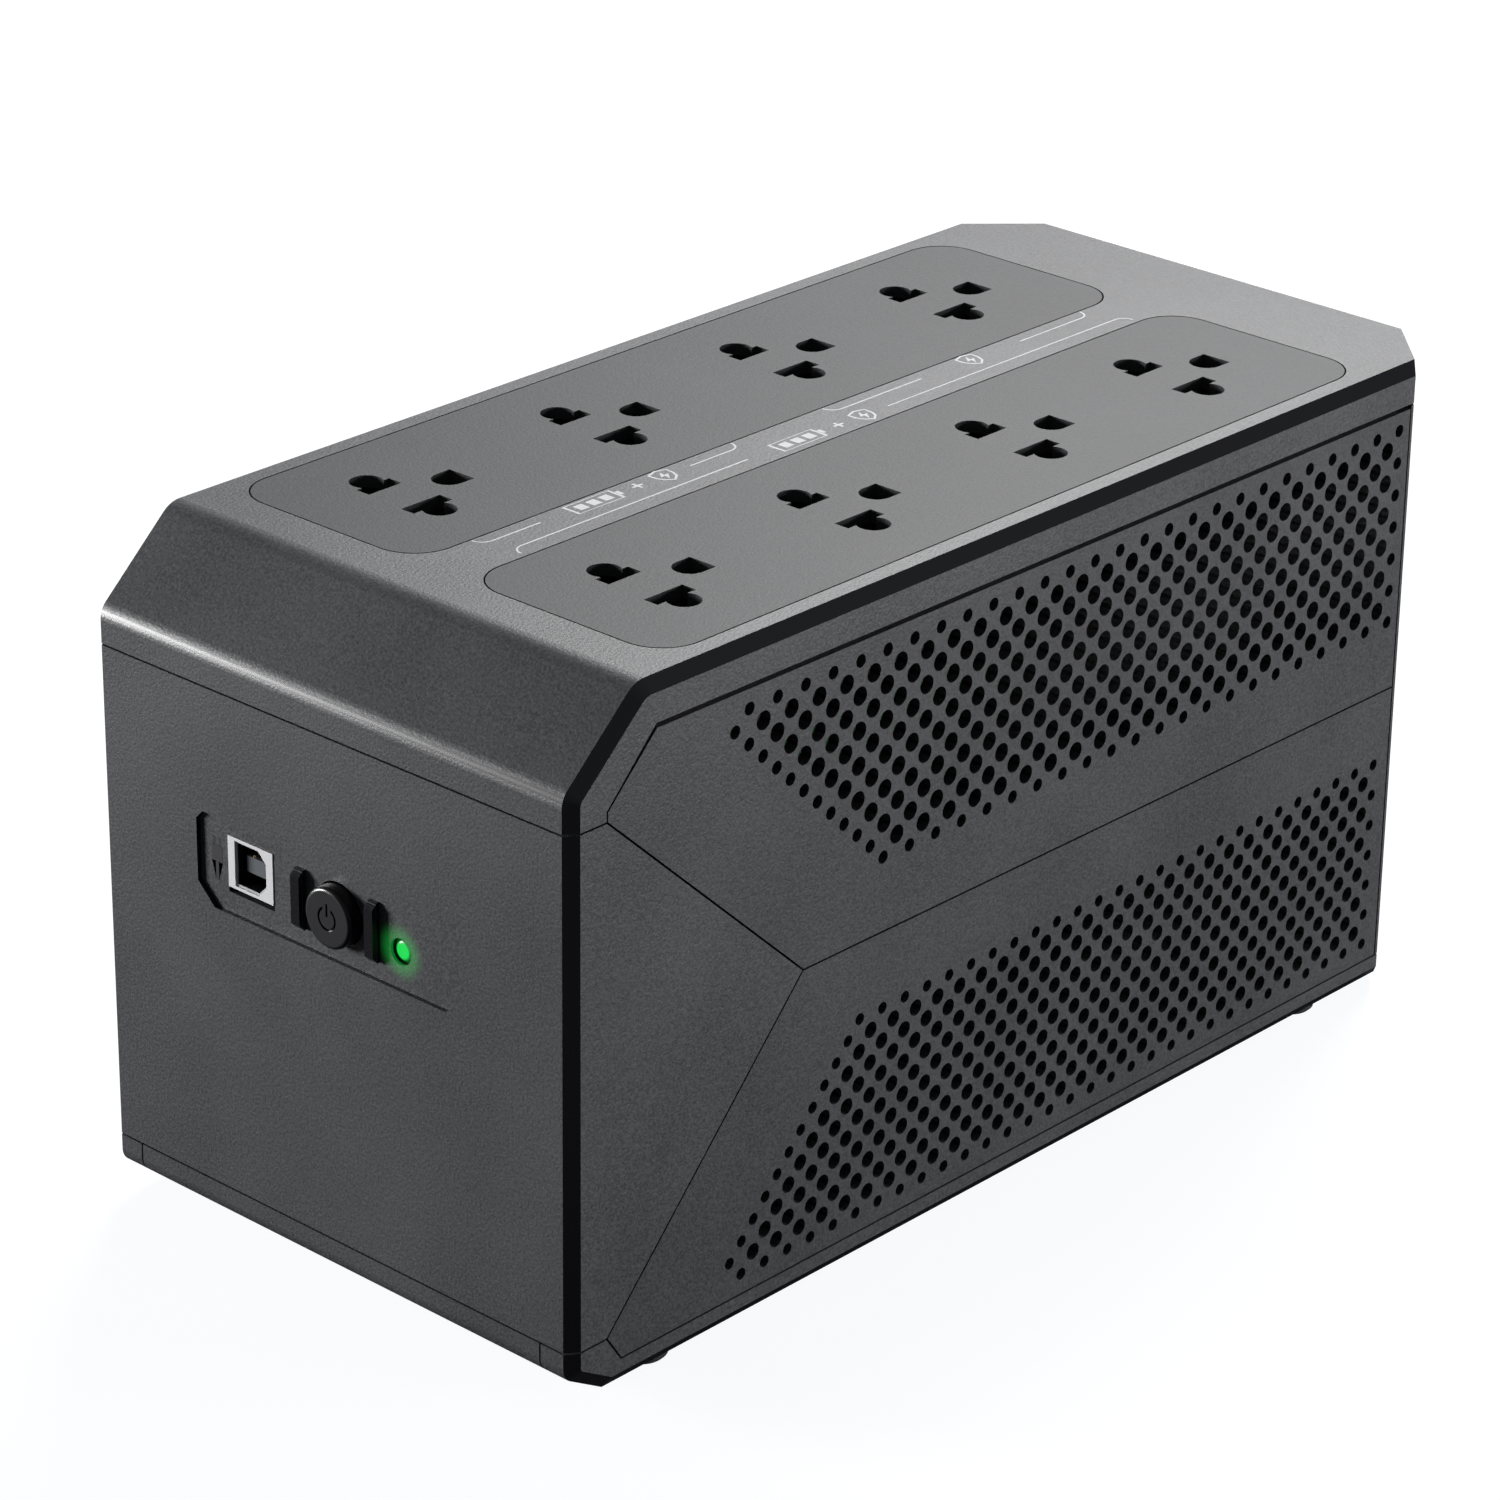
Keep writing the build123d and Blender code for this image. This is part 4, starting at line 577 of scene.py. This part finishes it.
def ribbed(name, colour, other, roughness, metallic, pitch, direction, depth):
    """A surface of fine parallel lines, such as stacked sheets, wound wire or an extrusion."""
    material, shader = new_material(name, colour, roughness, metallic)
    links = material.node_tree.links
    place = add_node(material, "ShaderNodeTexCoord").outputs["Object"]
    lines = add_node(
        material, "ShaderNodeTexWave",
        {"Vector": place, "Scale": 0.314 / pitch, "Distortion": 0.4, "Detail": 2.0, "Detail Scale": 3.0},
        bands_direction=direction,
    ).outputs["Fac"]
    links.new(mixed(material, lines, other, colour), shader.inputs["Base Color"])
    bump = add_node(material, "ShaderNodeBump", {"Height": lines, "Distance": depth, "Strength": 0.7})
    links.new(bump.outputs["Normal"], shader.inputs["Normal"])
    return material


dress(
    ribbed("anodised_extrusion", (0.03, 0.03, 0.032), (0.018, 0.018, 0.019), 0.35, 0.6,
           0.5 * MM, "Y", 0.03 * MM),
    "heat_sink",
)
dress(
    ribbed("choke_winding", (0.55, 0.22, 0.08), (0.22, 0.07, 0.02), 0.3, 0.9, 1.2 * MM, "Z", 0.3 * MM),
    "choke",
)

# ------------------------------------------------------------------ transformer
# A stack of varnished steel laminations with enamelled copper wire wound on a nylon bobbin,
# strapped to the base by a folded zinc-plated bracket.
dress(
    ribbed("varnished_laminations", (0.1, 0.1, 0.105), (0.03, 0.03, 0.032), 0.4, 0.7,
           0.5 * MM, "Y", 0.08 * MM),
    "transformer_core",
)
dress(
    ribbed("copper_winding", (0.62, 0.26, 0.1), (0.25, 0.08, 0.03), 0.28, 0.9, 0.9 * MM, "Z", 0.25 * MM),
    "transformer_winding",
)

# ------------------------------------------------------------------ feet
# Four soft rubber discs are pressed into round sockets under the base. They are dull and black,
# and the whole case stands on them.
rubber_material = grained("soft_black_rubber", (0.014, 0.014, 0.014), 0.8, 0.5 * MM, 0.05 * MM, 0.3)[0]
dress(rubber_material, "rubber_feet")

# ------------------------------------------------------------------ studio
# A white sweep of floor, and soft boxes that graze the front and the side, so that the bevels
# between them stay dark. One behind and above lays a sheen over the top.
PALE = (0.97, 0.98, 1.0, 1)         # what is seen of the floor and the air
FLOOR_GLOW = 0.94
FLOOR_SHADED = (0.16, 0.16, 0.165, 1)
FLOOR_DULL = (0.06, 0.06, 0.06, 1)  # what the object gets of their light
AIR_DULL = (0.095, 0.1, 0.105, 1)
bpy.ops.object.select_all(action="DESELECT")
bpy.ops.mesh.primitive_plane_add(size=24.0, location=(0, 0, 0))
floor = bpy.context.object
floor.name = "studio_floor"
floor_material, floor_shader = new_material("white_sweep", (0.5, 0.5, 0.5), 0.8)
floor_tree = floor_material.node_tree
dull = add_node(floor_material, "ShaderNodeBsdfDiffuse")
dull.inputs["Color"].default_value = FLOOR_DULL
pale = add_node(floor_material, "ShaderNodeEmission")
pale.inputs["Color"].default_value = PALE
pale.inputs["Strength"].default_value = FLOOR_GLOW
shaded = add_node(floor_material, "ShaderNodeBsdfDiffuse")
shaded.inputs["Color"].default_value = FLOOR_SHADED
both = add_node(floor_material, "ShaderNodeAddShader")
floor_tree.links.new(pale.outputs[0], both.inputs[0])
floor_tree.links.new(shaded.outputs[0], both.inputs[1])
path = add_node(floor_material, "ShaderNodeLightPath")
choice = add_node(floor_material, "ShaderNodeMixShader")
floor_tree.links.new(path.outputs["Is Camera Ray"], choice.inputs[0])
floor_tree.links.new(dull.outputs[0], choice.inputs[1])
floor_tree.links.new(both.outputs[0], choice.inputs[2])
floor_tree.links.new(choice.outputs[0], floor_tree.nodes["Material Output"].inputs["Surface"])
floor_tree.nodes.remove(floor_shader)
floor.data.materials.append(floor_material)

world = bpy.data.worlds.new("studio_air")
bpy.context.scene.world = world
world.use_nodes = True
sky = world.node_tree.nodes["Background"]
seen = world.node_tree.nodes.new("ShaderNodeLightPath")
tone = world.node_tree.nodes.new("ShaderNodeMix")
tone.data_type = "RGBA"
tone.inputs[6].default_value = AIR_DULL
tone.inputs[7].default_value = PALE
world.node_tree.links.new(seen.outputs["Is Camera Ray"], tone.inputs[0])
world.node_tree.links.new(tone.outputs[2], sky.inputs["Color"])

cad_middle = (cad_box[0] + cad_box[1]) / 2
# name: direction from the object, distance, width, height, power
SOFT_BOXES = {
    "front_strip": ((-0.82, -0.57, 0.0), 2.3, 0.8, 1.0, 142.0),
    "side_strip": ((0.86, 0.45, 0.0), 1.1, 0.4, 0.45, 16.0),
    "back_box": ((-0.33, 0.64, 0.69), 1.8, 0.9, 0.65, 39.0),
}
for name, (direction, distance, wide, tall, power) in SOFT_BOXES.items():
    light = bpy.data.lights.new(name, "AREA")
    light.shape = "RECTANGLE"
    light.size = wide
    light.size_y = tall
    light.energy = power
    lamp = bpy.data.objects.new(name, light)
    bpy.context.scene.collection.objects.link(lamp)
    way = Vector(direction).normalized()
    turn = way.to_track_quat("Z", "Y").to_matrix().to_4x4()
    lamp.matrix_world = Matrix.Translation(cad_middle + way * distance) @ turn

CAMERA_PLACE = (0.63483, -0.70820, 0.50137)
CAMERA_LENS = 127.63
CAMERA_TURN = 42.438
CAMERA_DOWN = 24.328
CAMERA_ROLL = 0.752
camera_data = bpy.data.cameras.new("camera")
camera_data.lens = CAMERA_LENS
camera_data.sensor_width = 36.0
camera = bpy.data.objects.new("camera", camera_data)
bpy.context.scene.collection.objects.link(camera)
camera.matrix_world = (
    Matrix.Translation(CAMERA_PLACE)
    @ Matrix.Rotation(math.radians(CAMERA_TURN), 4, "Z")
    @ Matrix.Rotation(math.radians(90 - CAMERA_DOWN), 4, "X")
    @ Matrix.Rotation(math.radians(CAMERA_ROLL), 4, "Z")
)
bpy.context.scene.camera = camera
bpy.context.scene.view_settings.view_transform = "Standard"
